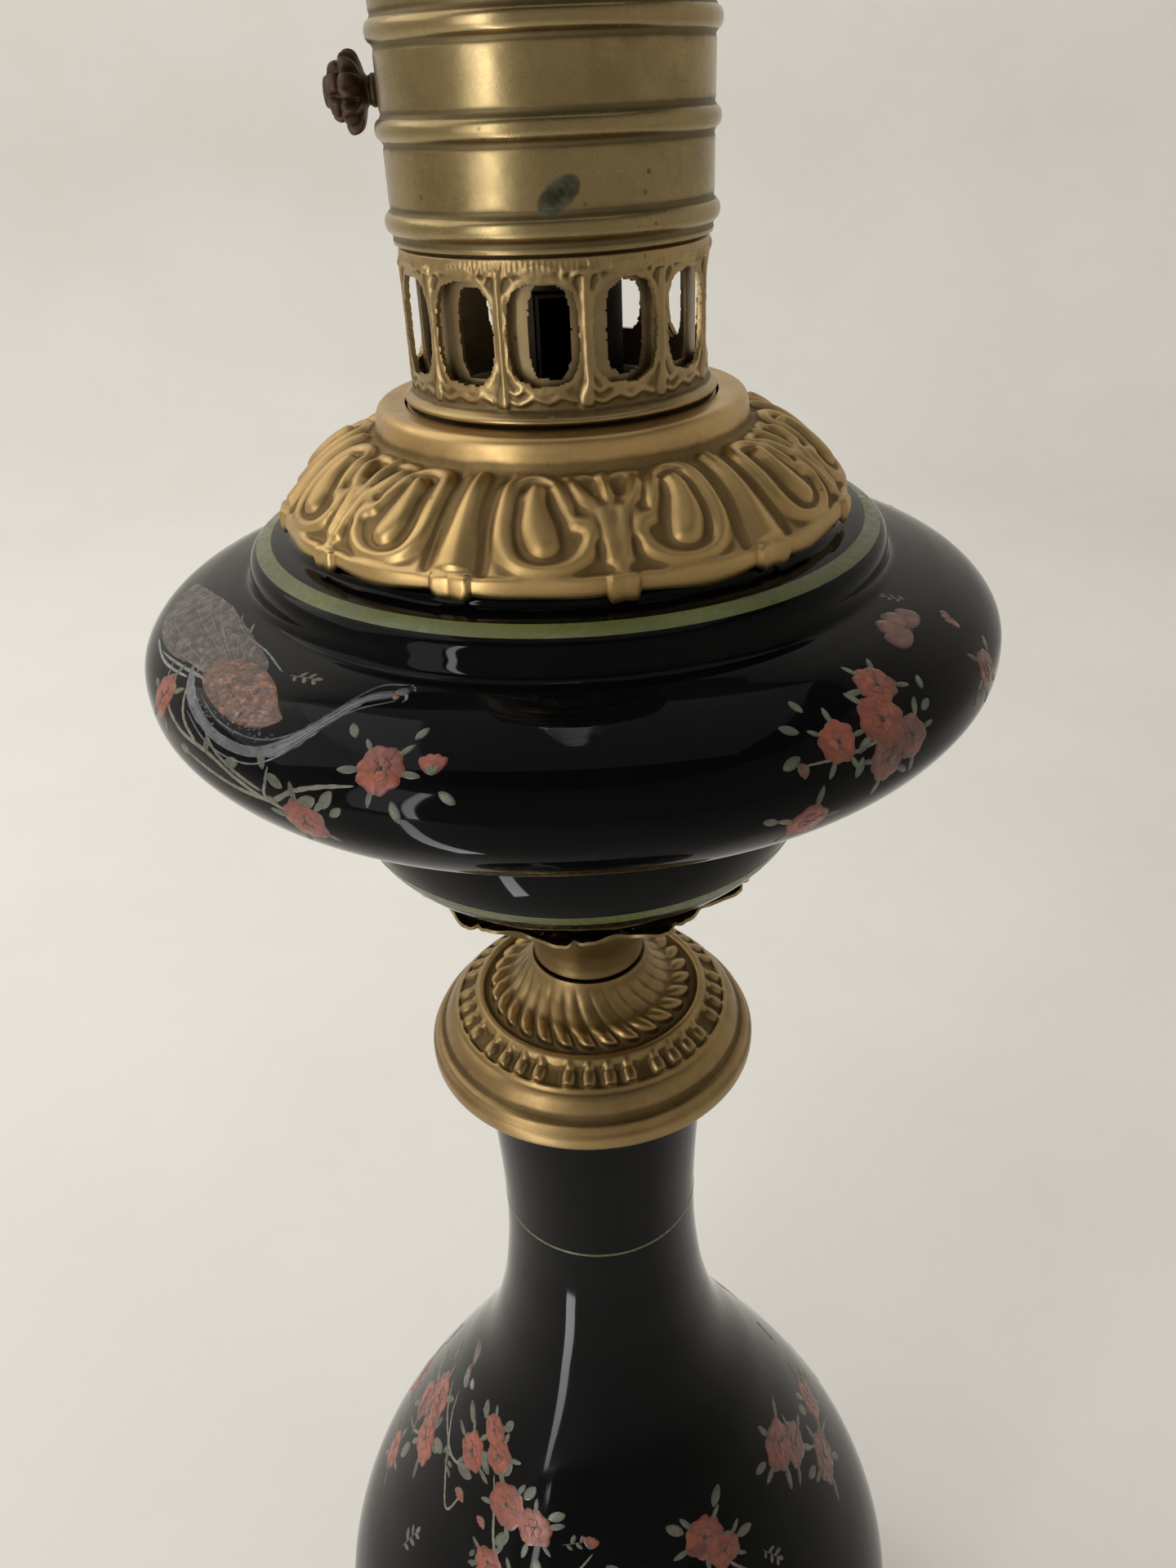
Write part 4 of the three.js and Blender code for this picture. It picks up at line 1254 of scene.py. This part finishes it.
    def line_on_glass(self, places, colour, tall=0.09):
        """A stroke through places of (angle, z, half width)."""
        self.at(*np.mean([p[:2] for p in places], axis=0))
        self.stroke([(*self.flat(a, z), w) for a, z, w in places], colour, tall)

    def leaf(self, x, y, length, turn, colour=LEAF, width=0.5):
        self.blob(blade(x, y, length, length * width, turn), colour, 0.08)
        c, s = heading(turn)
        vein = [(x + length * t * c, y + length * t * s, 0.09) for t in (0.05, 0.4, 0.9)]
        self.stroke(vein, np.array(colour) * 1.7, 0.13)

    def flower(self, x, y, size, turn, colour, count=5):
        tone = np.array(colour)
        for k in range(count):
            shade = self.random.uniform(0.82, 1.08)
            reach = size * self.random.uniform(0.9, 1.1)
            tilt = turn + 360 / count * k + self.random.uniform(-7, 7)
            self.blob(petal(x, y, reach, size * 1.1, tilt), tone * shade, 0.09 + 0.012 * k)
        for k in range(3):
            inner = petal(x, y, size * 0.52, size * 0.6, turn + 35 + 120 * k)
            self.blob(inner, tone * self.random.uniform(0.9, 1.2), 0.17 + 0.01 * k, 0.6)
        self.blob(petal(x - 0.13 * size, y, 0.26 * size, 0.26 * size, 0, 0), DARK_EYE, 0.24)
        for k in range(7):
            bend = math.radians(turn + 360 / 7 * k)
            dot = size * 0.26
            place = (x + dot * math.cos(bend), y + dot * math.sin(bend))
            self.blob(petal(*place, 0.09 * size, 0.09 * size, 0, 0), TAIL, 0.24)

    def bud(self, x, y, size, turn, colour):
        for tilt, shade in ((-24, 0.85), (24, 0.95), (0, 1.08)):
            self.blob(petal(x, y, size, size * 0.62, turn + tilt), np.array(colour) * shade, 0.12)
        for tilt in (-35, 0, 35):
            self.blob(blade(x, y, size * 0.45, size * 0.2, turn + tilt), LEAF, 0.18)

    def sprig(self, x, y, length, turn, count):
        """A thin stem with pairs of small leaves."""
        c, s = heading(turn)
        self.stroke([(x + length * t * c, y + length * t * s, 0.16) for t in (0, 0.5, 1)], TWIG)
        for k in range(count):
            t = (k + 1) / (count + 0.5) * length
            side = 52 if k % 2 else -52
            size = length * 0.36 * self.random.uniform(0.8, 1.15)
            self.leaf(x + t * c, y + t * s, size, turn + side)
        self.leaf(x + length * c * 0.95, y + length * s * 0.95, length * 0.34, turn)

    def dashes(self, corners, count, colours, size=1.1):
        """Short feather marks scattered inside four places of (angle, z)."""
        self.at(*np.mean(corners, axis=0))
        a, b, c, d = (np.array(self.flat(*p)) for p in corners)
        for number in range(count):
            s, t = self.random.uniform(0, 1, 2)
            x, y = (a * (1 - s) + b * s) * (1 - t) + (d * (1 - s) + c * s) * t
            far = (a + b) / 2 - (c + d) / 2
            turn = math.atan2(far[1], far[0]) + self.random.uniform(-0.5, 0.5)
            reach = size * self.random.uniform(0.6, 1.2)
            end = (x + reach * math.cos(turn), y + reach * math.sin(turn))
            mid = ((x + end[0]) / 2, (y + end[1]) / 2)
            tone = np.array(colours[number % len(colours)]) * self.random.uniform(0.7, 1.15)
            self.stroke([(x, y, 0.22), (*mid, 0.3), (*end, 0.2)], tone, 0.12)

    def peacock(self):
        """A peacock with its neck stretched to the right and its tail swept up to the left."""
        self.peacock_tail()
        self.peacock_body()
        self.peacock_neck()
        self.peacock_head()

    def peacock_tail(self):
        tail_low = [(-44.5, 560.2), (-48, 558.6), (-56, 558.8), (-65, 557.2), (-74, 556.6), (-82, 557.6),
                    (-87, 559.8)]
        tail_high = [(-44, 560.4), (-47, 561.8), (-54, 562.4), (-62, 562.7), (-71, 562.6), (-80, 561.6),
                     (-86.6, 560.2)]
        mottle = ((0.028, 0.025, 0.025), TAIL, (0.07, 0.065, 0.07), (0.09, 0.045, 0.04),
                  (0.04, 0.045, 0.035))
        self.patch(tail_low, tail_high, mottle)
        tips = [(-84, 560.5), (-80, 561.6), (-75, 562.2), (-70, 562.6), (-65, 562.8), (-60, 562.9),
                (-78, 558.5), (-73, 557.4), (-68, 556.6)]
        for number, (angle, z) in enumerate(tips):
            root = (-49 + 0.5 * number, 560.6 - 0.2 * number)
            mid = ((angle + root[0]) / 2, (z + root[1]) / 2 + 0.35)
            tone = (FEATHER, TAIL, TWIG)[number % 3]
            self.line_on_glass([(*root, 0.35), (*mid, 0.7), (angle, z, 0.35)], tone, 0.06)
        marks = (TAIL, FEATHER, ROSE, TAIL, LEAF)
        self.dashes([(-83, 561), (-75, 557), (-50, 558.8), (-52, 562.4)], 190, marks, 1.3)
        self.dashes([(-66, 562.8), (-60, 560), (-46, 559.4), (-47, 562.2)], 90, marks, 1.3)
        back = [(-66, 562.6, 0.3), (-58, 562.3, 0.35), (-50, 562.2, 0.35), (-43, 561.6, 0.3)]
        self.line_on_glass(back, FEATHER)
        self.line_on_glass([(-73, 556.3, 0.4), (-65, 556.3, 0.5), (-57, 557.4, 0.4)], PALE)

    def peacock_body(self):
        wing_low = [(-56, 559.6), (-53.5, 558.0), (-48, 556.6), (-43, 556.0), (-39, 556.6), (-36.6, 558.0)]
        wing_high = [(-55.6, 560.2), (-52, 561.2), (-47, 561.4), (-42, 560.8), (-38.6, 559.4),
                     (-36.4, 558.4)]
        warm = (ORANGE, np.array(ORANGE) * 0.6, np.array(ROSE) * 0.8, (0.06, 0.035, 0.03))
        self.patch(wing_low, wing_high, warm, 44, 22, 0.1)
        for _ in range(26):
            x, y = self.random.uniform(-6.5, 4.5), self.random.uniform(-3.2, 3.2)
            self.stroke([(x, y, 0.2), (x + 0.7, y - 0.5, 0.3), (x + 1.5, y - 0.4, 0.15)], ROSE, 0.19)
        for turn in (120, 150, 180, 210):
            self.leaf(-7.0, 0.6, 4.2, turn, FEATHER, 0.34)
        self.blob(petal(3.0, -3.6, 1.6, 1.6, 0, 0), FEATHER, 0.24)
        self.blob(petal(3.3, -3.4, 0.8, 0.8, 0, 0), PALE, 0.28)

    def peacock_neck(self):
        neck = [(-58, 558.4, 1.3), (-52, 555.6, 2.3), (-45, 553.4, 3.2), (-38, 553.6, 3.2),
                (-33.4, 556.4, 2.3), (-30.6, 559.4, 1.7), (-27.6, 561.5, 1.4), (-23.4, 562.2, 0.9)]
        self.line_on_glass(neck, (0.12, 0.13, 0.15), 0.13)
        for side in (-0.6, -0.2, 0.2, 0.6):
            light = [(a + 0.4 * side, z + side * w, 0.2) for a, z, w in neck[1:]]
            self.line_on_glass(light, np.array(PALE) * 0.7, 0.2)
        breast = [(-52, 556.4), (-52, 554.6), (-34, 555), (-34, 556.8)]
        self.dashes(breast, 60, (PALE, FEATHER, DARK_EYE), 0.9)

    def peacock_head(self):
        self.at(-23.4, 562.2)
        self.blob(petal(-1.8, 0.1, 3.0, 2.1, 10, 0), FEATHER, 0.16)
        self.stroke([(0.6, 0.0, 0.45), (1.3, -1.2, 0.35), (1.0, -2.4, 0.15)], PALE, 0.16)
        self.blob(petal(-1.4, -1.0, 1.5, 1.2, -30, 0), ORANGE, 0.2)
        for turn in (20, 45, 70):
            c, s = heading(turn)
            self.stroke([(0.2, 0.6, 0.1), (0.2 + 1.6 * c, 0.6 + 1.6 * s, 0.12)], FEATHER)
            self.blob(petal(0.2 + 1.5 * c, 0.6 + 1.5 * s, 0.6, 0.6, turn, 0), FEATHER, 0.13)

    def butterfly(self, size, turn, colour):
        for tilt, length in ((-65, 1.0), (-25, 0.8), (25, 0.85), (65, 1.0)):
            wing = petal(0, 0, size * length, size * 0.62, turn + 90 + tilt * 1.2, 0.06)
            self.blob(wing, np.array(colour) * self.random.uniform(0.6, 0.9), 0.1, 0.55)
        c, s = heading(turn + 90)
        self.stroke([(-c, -s, 0.2), (0, 0, 0.35), (1.2 * c, 1.2 * s, 0.2)], TAIL, 0.16)

    def bird(self, size, turn):
        """A small perching bird with a drooping tail."""
        self.blob(petal(-0.3 * size, 0, 0.95 * size, 0.6 * size, turn, 0), FEATHER, 0.12)
        self.blob(petal(0.35 * size, 0.05 * size, 0.42 * size, 0.4 * size, turn + 20, 0), PALE, 0.16)
        for tilt in (160, 172, 184, 196):
            self.leaf(-0.1 * size, 0, 1.25 * size, turn + tilt, TAIL, 0.17)
        self.blob(petal(-0.1 * size, 0, 0.5 * size, 0.3 * size, turn - 15, 0), ORANGE, 0.18)

    def finish(self, name, body, material):
        """Everything painted so far, as one piece."""
        made = new_piece(name, np.array(self.points), self.faces, body, material, sharp=60)
        paint = made.data.color_attributes.new("paint", "FLOAT_COLOR", "POINT")
        rgba = np.hstack([np.clip(self.colours, 0, 1), np.ones((len(self.colours), 1))])
        paint.data.foreach_set("color", rgba.astype(np.float32).ravel())
        clean(made.data, facing=True)
        return made


# What is painted, from the photo in front and alike behind, in degrees and millimetres:
# flowers and buds (angle, z, size, turn, colour), leaves and sprigs (angle, z, length, turn), and
# twigs as lists of (angle, z, half width).
FLOWERS, BUDS, LEAVES_AT, SPRIGS, TWIGS = range(5)
FONT_DECOR = (
    [(-21.5, 555.6, 4.8, 20, CORAL), (-59.5, 553, 5.0, 60, CORAL), (-30.5, 543.6, 5.2, 0, CORAL),
     (38, 558.6, 4.8, 80, CORAL), (35.4, 555.0, 5.4, 15, CORAL), (28.6, 554.4, 4.3, 50, CORAL),
     (38.8, 550.8, 4.6, 30, ROSE), (34.6, 548.6, 4.4, 70, ROSE), (58.5, 551, 5.0, 10, ROSE),
     (24.5, 541.2, 4.6, 45, CORAL), (118, 553, 4.6, 10, CORAL), (126, 549, 3.8, 50, CORAL),
     (-128, 554, 4.6, 30, CORAL), (-120, 549, 3.6, 0, ROSE), (168, 552, 4.4, 20, CORAL)],
    [(-15.6, 555.6, 4.6, 95, CORAL), (24.2, 552.4, 2.6, 200, ROSE), (133, 556, 3.0, 70, CORAL),
     (-113, 556, 3.0, 110, CORAL)],
    [(-40, 551.2, 3.4, 200), (-26.5, 551.4, 3.6, 235), (-19.6, 551.6, 3.2, 290), (-25.6, 558.4, 2.8, 130),
     (-18.6, 559.0, 2.6, 60), (-14.6, 553.6, 2.8, 330), (-28.6, 549.4, 4.0, 210), (-33, 549.6, 3.4, 160),
     (-36, 551.6, 3.0, 120), (24.6, 556.8, 3.0, 150), (26.4, 558.6, 2.6, 110), (23.6, 554, 3.2, 200),
     (41.6, 553.6, 2.6, 20), (43.5, 556, 2.4, 60), (31.2, 551, 3.0, 240), (55, 548.6, 3.0, 200),
     (113, 556, 4.0, 120), (122, 557, 3.4, 60), (-133, 557, 3.8, 140), (-124, 556.4, 3.2, 60),
     (164, 556, 3.4, 130), (172, 556, 3.2, 40), (-50, 548, 3.2, 190), (-46, 549.6, 2.8, 100),
     (-27.0, 546.4, 2.6, 40), (-34.0, 546.0, 2.4, 170), (20.6, 543.2, 2.6, 160)],
    [(-41.5, 561.6, 6.0, 12), (60, 562, 5.0, 120), (140, 552, 8.0, 20), (-140, 552, 8.0, 160),
     (178, 550, 7.0, 10)],
    [[(-63, 557.4, 0.3), (-60.5, 555, 0.4), (-57, 552.6, 0.45), (-52, 550.6, 0.45), (-45.5, 550.0, 0.5),
      (-40, 547.6, 0.5), (-35.5, 546.0, 0.55), (-31.6, 549.6, 0.5), (-28, 551.6, 0.45), (-24, 552.8, 0.4)],
     [(-57, 560.4, 0.25), (-55.6, 557.2, 0.35), (-52.6, 553.2, 0.4), (-48.4, 550.6, 0.45)],
     [(-47.6, 553.8, 0.25), (-44.8, 551.4, 0.35), (-41.2, 549.4, 0.4), (-36.4, 547.4, 0.45)],
     [(-35.4, 552.4, 0.2), (-35.6, 549.6, 0.35), (-35.8, 546.4, 0.45), (-32.2, 544.6, 0.4)],
     [(-52, 547.6, 0.25), (-46.6, 546.6, 0.4), (-40.8, 545.8, 0.45), (-35.6, 545.8, 0.45)],
     [(23.6, 552.6, 0.2), (29, 552.2, 0.3), (34, 552.6, 0.3), (39, 554, 0.25)],
     [(104, 551, 0.3), (112, 552.4, 0.4), (122, 551.4, 0.4), (134, 553.4, 0.3)],
     [(-142, 551, 0.3), (-132, 552, 0.4), (-122, 552.4, 0.4), (-112, 554, 0.3)],
     [(158, 550.6, 0.3), (166, 551.4, 0.4), (176, 550.8, 0.3)]],
)
VASE_DECOR = (
    [(-61, 250, 5.2, 10, CORAL), (-49, 258, 4.6, 50, CORAL), (-55, 263, 4.0, 0, CORAL),
     (-39.5, 247, 5.6, 30, CORAL), (-28.4, 245.4, 5.0, 70, CORAL), (-92, 236, 7.2, 20, CORAL),
     (-84, 226, 6.6, 60, CORAL), (-98, 222, 6.0, 0, CORAL), (-40, 228, 4.4, 40, CORAL),
     (-30, 226, 4.6, 10, CREAM), (-114, 201, 6.6, 30, CORAL), (-94, 197, 6.0, 0, CORAL),
     (28, 240, 5.4, 15, CORAL), (33, 233, 4.6, 60, CORAL), (97, 212, 7.0, 20, CORAL),
     (82, 208, 7.0, 50, ROSE), (69, 237, 6.6, 0, CORAL), (75, 228, 5.8, 30, ROSE),
     (140, 240, 5.6, 10, CORAL), (152, 232, 5.0, 40, CORAL), (-150, 244, 5.4, 0, CORAL),
     (-160, 236, 4.6, 50, ROSE),
     (-35, 165, 6.6, 20, CORAL), (-22, 158, 5.6, 60, CORAL), (40, 160, 6.4, 0, CORAL),
     (120, 170, 6.4, 30, CORAL), (-140, 168, 6.4, 10, CORAL), (178, 160, 6.0, 45, ROSE)],
    [(-58, 238, 3.4, 270, CORAL), (-9, 244.4, 3.4, 80, CORAL), (-46, 238, 2.8, 250, CORAL),
     (20, 234, 3.2, 200, ROSE), (130, 246, 3.6, 100, CORAL), (-142, 250, 3.6, 90, CORAL),
     (-12, 164, 4.0, 30, CORAL), (52, 168, 4.0, 60, CORAL)],
    [(-56, 244, 6, 200), (-50, 250, 5, 150), (-44, 254, 4.6, 80), (-34, 252, 4.6, 60), (-24, 250, 4.4, 30),
     (-36, 240, 5, 240), (-26, 238, 4.6, 290), (-66, 256, 5, 150), (-62, 262, 4.4, 110), (-50, 266, 4, 70),
     (-22, 232, 4.6, 10), (-16, 228, 4.4, 340), (-10, 238, 4.2, 200), (-4, 240, 4.2, 330),
     (-100, 244, 6, 160), (-80, 232, 6, 30), (-88, 214, 6.4, 260), (-104, 230, 6, 180), (22, 244, 4.8, 140),
     (34, 246, 4.8, 50), (38, 234, 4.6, 350), (24, 228, 5, 240), (90, 218, 5.4, 110), (104, 206, 5, 330),
     (76, 214, 5, 150), (60, 240, 4.4, 160), (134, 234, 5.4, 220), (146, 246, 5, 80), (158, 226, 5, 330),
     (-156, 250, 5, 120), (-144, 238, 5, 300), (-28, 170, 6.6, 60), (-44, 158, 6.6, 200),
     (-14, 152, 6, 320), (32, 152, 6.6, 220), (50, 156, 6, 340), (112, 162, 6.6, 200), (128, 178, 6, 60),
     (-148, 160, 6.6, 230), (-132, 176, 6, 50), (170, 152, 6, 200)],
    [(-68, 200, 12, 75), (-60, 198, 11, 60), (-52, 200, 10, 95), (-46, 229, 9, 300), (-18, 244, 9, 20),
     (-74, 240, 9, 330), (44, 224, 9, 300), (110, 224, 10, 60), (-120, 214, 12, 110), (-4, 230, 8, 250),
     (162, 244, 9, 60), (-166, 226, 9, 240)],
    [[(-92, 247, 0.4), (-84, 243, 0.55), (-76, 241, 0.6), (-68, 240, 0.6), (-60, 244, 0.5)],
     [(-84, 252, 0.35), (-80, 246, 0.5), (-74, 241, 0.55), (-66, 233, 0.5), (-60, 228, 0.45),
      (-57, 238, 0.3)],
     [(-48, 252, 0.35), (-44, 244, 0.5), (-40, 234, 0.55), (-34, 226, 0.5), (-24, 222, 0.4)],
     [(-98, 210, 0.4), (-90, 218, 0.6), (-86, 228, 0.6), (-90, 240, 0.5)],
     [(-30, 226, 0.4), (-22, 230, 0.5), (-14, 236, 0.45), (-8, 243, 0.3)],
     [(28, 238, 0.4), (34, 228, 0.55), (42, 216, 0.6), (50, 202, 0.55)],
     [(68, 238, 0.3), (74, 228, 0.45), (82, 214, 0.55), (94, 202, 0.5)],
     [(126, 246, 0.4), (138, 238, 0.55), (150, 228, 0.6), (164, 222, 0.5)],
     [(-136, 250, 0.4), (-148, 242, 0.55), (-162, 232, 0.6), (-172, 220, 0.5)],
     [(-52, 150, 0.5), (-38, 160, 0.7), (-24, 160, 0.7), (-10, 166, 0.5)],
     [(26, 148, 0.5), (38, 156, 0.7), (52, 164, 0.6)], [(108, 158, 0.5), (120, 166, 0.7), (134, 180, 0.5)],
     [(-154, 156, 0.5), (-140, 164, 0.7), (-128, 178, 0.5)]],
)


def decorate(paint, decor, full=1.0):
    """Sprays of flowers: stems first, then leaves, then blooms, as the painter laid them.

    full is how much bigger the blooms are than their stated sizes.
    """
    for places in decor[TWIGS]:
        paint.line_on_glass([(a, z, 1.5 * w) for a, z, w in places], TWIG)
    for angle, z, size, turn, _ in decor[FLOWERS]:
        paint.at(angle, z)
        for k in range(5):
            bend = turn + 36 + 72 * k + paint.random.uniform(-14, 14)
            c, s = heading(bend)
            reach = size * full * paint.random.uniform(0.7, 1.0)
            paint.leaf(0.75 * size * full * c, 0.75 * size * full * s, reach, bend, LEAF, 0.34)
    for angle, z, length, turn in decor[SPRIGS]:
        paint.at(angle, z)
        paint.sprig(0, 0, length, turn, 5)
    for angle, z, length, turn in decor[LEAVES_AT]:
        paint.at(angle, z)
        paint.leaf(0, 0, 1.35 * length * full**0.5, turn)
    for angle, z, size, turn, colour in decor[FLOWERS]:
        paint.at(angle, z)
        paint.flower(0, 0, size * full, turn, colour)
    for angle, z, size, turn, colour in decor[BUDS]:
        paint.at(angle, z)
        paint.bud(0, 0, size * full, turn, colour)


def font_enamel(material):
    paint = Paint(font_line())
    decorate(paint, FONT_DECOR)
    paint.peacock()
    for angle, z, size, turn in ((52, 560.9, 8.6, 15), (60.5, 559.2, 3.0, 60), (-163, 560, 6.4, 10)):
        paint.at(angle, z)
        paint.butterfly(size, turn, ROSE)
    return paint.finish("font_enamel", "stand", material)


def vase_enamel(material):
    paint = Paint(vase_line())
    decorate(paint, VASE_DECOR, 1.4)
    for angle, z, size, turn in ((-84, 262, 9, 300), (15, 200, 14, 20), (-175, 205, 14, 160)):
        paint.at(angle, z)
        paint.bird(size, turn)
    return paint.finish("vase_enamel", "stand", material)


# ---------- The stage, the lights and the camera ----------


FLOOR_RADIUS = 2.05  # metres, and so is the rest of the stage
FLOOR_BEND = 0.55


def stage(material):
    """A pale floor that curves up into a round wall well outside every camera's place."""
    wall = FLOOR_RADIUS + FLOOR_BEND
    line = [[0.0, 0.0], [0.4, 0], [1.2, 0]]
    for a in np.linspace(0, TURN / 4, 14):
        line.append([FLOOR_RADIUS + FLOOR_BEND * math.sin(a), FLOOR_BEND - FLOOR_BEND * math.cos(a)])
    line = np.array([*line, [wall, 1.2], [wall, 2.4], [wall, 3.4]]) / MM
    points = placed(line[:, 0:1], line[:, 1:2], all_round(128)).reshape(-1, 3)
    faces = grid_faces(len(line), 128)[:, :, ::-1].reshape(-1, 4)
    mesh = bpy.data.meshes.new("backdrop")
    mesh.from_pydata(points * MM, [], faces)
    mesh.validate()
    clean(mesh, TIP_GAP)
    mesh.shade_smooth()
    mesh.materials.append(material)
    floor = bpy.data.objects.new("backdrop", mesh)
    bpy.context.scene.collection.objects.link(floor)


def plaster():
    """Pale painted wall and floor, slightly uneven."""
    n = Nodes("plaster")
    shade = n.noise(3, 4, 0.6)
    colour = n.mix(n.ramp(shade, 0.3, 0.7), (0.74, 0.725, 0.69, 1), (0.71, 0.69, 0.65, 1))
    n.set(Base_Color=colour, Roughness=0.9)
    return n.set(Normal=n.bumps(n.noise(120, 4, 0.7), 0.0006, 0.3))


def lamp(name, at, target, size, power, colour, mirrored=True):
    """A soft rectangular light that looks at a point, hidden from reflections if not mirrored."""
    data = bpy.data.lights.new(name, "AREA")
    data.shape = "RECTANGLE"
    data.size, data.size_y = size
    data.energy = power
    data.color = colour
    light = bpy.data.objects.new(name, data)
    bpy.context.scene.collection.objects.link(light)
    light.visible_camera = False
    light.visible_glossy = mirrored
    light.location = at
    light.rotation_euler = (Vector(target) - Vector(at)).to_track_quat("-Z", "Y").to_euler()


def world(colour, strength):
    made = bpy.data.worlds.new("room")
    made.use_nodes = True
    background = made.node_tree.nodes["Background"]
    background.inputs["Color"].default_value = colour
    background.inputs["Strength"].default_value = strength
    bpy.context.scene.world = made


def camera():
    """Close above the lamp's front, looking down over the font at the foot."""
    data = bpy.data.cameras.new("camera")
    data.sensor_fit = "VERTICAL"
    data.sensor_height = 36
    data.lens = 27.02
    data.clip_start = 0.01
    pitch, yaw, roll = (math.radians(a) for a in (30.74, 0.416, 2.57))
    level = math.cos(pitch)
    forward = Vector((math.sin(yaw) * level, math.cos(yaw) * level, -math.sin(pitch)))
    side = Vector((math.cos(yaw), -math.sin(yaw), 0))
    up = side.cross(forward)
    right = math.cos(roll) * side - math.sin(roll) * up
    top = math.sin(roll) * side + math.cos(roll) * up
    turn = Matrix((right, top, -forward)).transposed()
    made = bpy.data.objects.new("camera", data)
    made.matrix_world = Matrix.Translation((0, -0.26, 0.654)) @ turn.to_4x4()
    bpy.context.scene.collection.objects.link(made)
    bpy.context.scene.camera = made


# ---------- The lamp ----------


# Verdigris on the sleeve's front, one long spot and two specks: (angle, z, radius, darkness).
SPOTS = [(-1.4, 636.2, 2.4, 0.85), (0.4, 636.9, 2.6, 0.8), (2.2, 637.6, 2.7, 0.8),
         (4.0, 638.3, 2.5, 0.8), (5.6, 638.9, 2.2, 0.85), (32.6, 640.3, 0.55, 0.7),
         (31.0, 637.1, 0.55, 0.7)]
SLEEVE_SIDE = 32.1  # the radius that the spots lie on
DARK = (0.10, 0.066, 0.03, 1)
aged = brass("aged_brass", (0.56, 0.38, 0.16, 1), (0.32, 0.212, 0.092, 1), DARK, shine=(0.28, 0.46))
sleeve_stains = [(tuple(placed(SLEEVE_SIDE, z, a) * MM), r * MM, d) for a, z, r, d in SPOTS]
sleeve = brass("sleeve_brass", (0.35, 0.265, 0.13, 1), (0.215, 0.16, 0.075, 1), (0.06, 0.045, 0.022, 1),
               shine=(0.17, 0.30), stains=sleeve_stains)
# A darker copy of the brass, painted shade for the neck disc in the font's shadow; the foot takes it too.
collar = brass("collar_brass_painted_shade", (0.35, 0.24, 0.105, 1), (0.19, 0.128, 0.058, 1), (0.062, 0.042, 0.02, 1),
               shine=(0.26, 0.42))
gallery = brass("gallery_brass", (0.42, 0.30, 0.14, 1), (0.22, 0.155, 0.075, 1), (0.07, 0.05, 0.026, 1),
                shine=(0.26, 0.42))
plain = brass("plain_brass", (0.40, 0.29, 0.13, 1), (0.29, 0.21, 0.10, 1), DARK, tarnish=0.4)
dull = brass("dull_brass", (0.34, 0.25, 0.13, 1), (0.22, 0.165, 0.09, 1), (0.05, 0.04, 0.024, 1),
             shine=(0.36, 0.55))
soot = brass("sooted_brass", (0.045, 0.036, 0.024, 1), (0.02, 0.017, 0.012, 1), (0.008, 0.007, 0.006, 1),
             shine=(0.5, 0.7))
bronze = brass("dark_bronze", (0.14, 0.095, 0.06, 1), (0.06, 0.042, 0.028, 1), (0.012, 0.009, 0.007, 1),
               shine=(0.34, 0.55))
steel = metal("steel", (0.22, 0.21, 0.2, 1), (0.1, 0.09, 0.08, 1))
iron = metal("cast_iron", (0.05, 0.047, 0.044, 1), (0.02, 0.018, 0.017, 1), shine=(0.55, 0.8),
             grain=0.00012)
cork = cork_board()
cotton = cotton_cloth()
black = glass_black()
clear = glass_clear()
painted = enamel()
olive = enamel_line("olive_line", (0.085, 0.098, 0.02, 1), (0.055, 0.062, 0.016, 1))

shoulder_cap(aged)
gallery_ring(gallery)
burner_basket(dull)
upper_sleeve(sleeve)
neck_disc(collar)
# The leaf cup takes the brighter gallery brass: painted light that lifts it out of the font's shadow.
leaf_cup(gallery)
foot(collar)
chimney_crown(plain)
vase(black)
font(black)
font_enamel(painted)
vase_enamel(painted)
glass_ring("font_band", "font", font_line(), low("font") + 90.25, low("font") + 91.75, olive)
glass_ring("font_lower_line", "font", font_line(), low("font") + 16.2, low("font") + 19.4, olive)
glass_ring("vase_line", "vase", even(vase_line(), 0.3), 352.8, 353.9, olive)
chimney(clear)
key_knob(bronze)
spindle_bush(bronze)
wick(cotton)
tube_with_windows("outer_wick_tube", soot)
TURNED = {"oil_pot": dull, "burner_collar": plain, "burner_base": dull, "font_seat": dull,
          "spacer_tube": dull, "vase_cork_ring": cork, "neck_cork_ring": cork, "font_cork_ring": cork,
          "base_washer": steel, "top_washer": steel, "neck_plate": steel, "base_weight": iron}
for node, material in TURNED.items():
    smooth_copy(node, material)
SHADED = {"tie_rod": steel, "base_nut": steel, "top_nut": steel, "wheel_box": soot,
          "inner_air_tube": soot, "wick_wheel_left": steel, "wick_wheel_right": steel,
          "key_spindle": steel}
for node, material in SHADED.items():
    shade_cad(node, material)

stage(plaster())
world((0.9, 0.94, 1.0, 1), 0.09)
lamp("window", (-0.95, -1.15, 0.72), (0, 0, 0.45), (0.08, 1.4), 5.0, (1.0, 0.99, 0.97))
lamp("window_low", (-0.56, -0.62, 0.02), (-0.54, -0.60, 1.0), (0.06, 1.0), 2.2, (0.96, 0.97, 1.0))
lamp("curtain", (-1.16, -1.02, 0.80), (0, 0, 0.45), (0.34, 1.3), 2.6, (0.98, 0.97, 1.0))
lamp("left_soft", (-1.35, 0.25, 1.9), (0, 0, 0.5), (1.6, 1.6), 9, (1.0, 0.98, 0.95))
lamp("wall_wash", (-0.9, 0.75, 2.8), (-0.6, 2.1, 0.2), (2.0, 1.2), 46, (1.0, 0.98, 0.95), False)
lamp("overhead", (-0.2, 0.5, 3.1), (-0.2, 0.45, 0.2), (3.2, 2.6), 11, (1.0, 0.98, 0.95))
bpy.context.scene.view_settings.view_transform = "Standard"
camera()
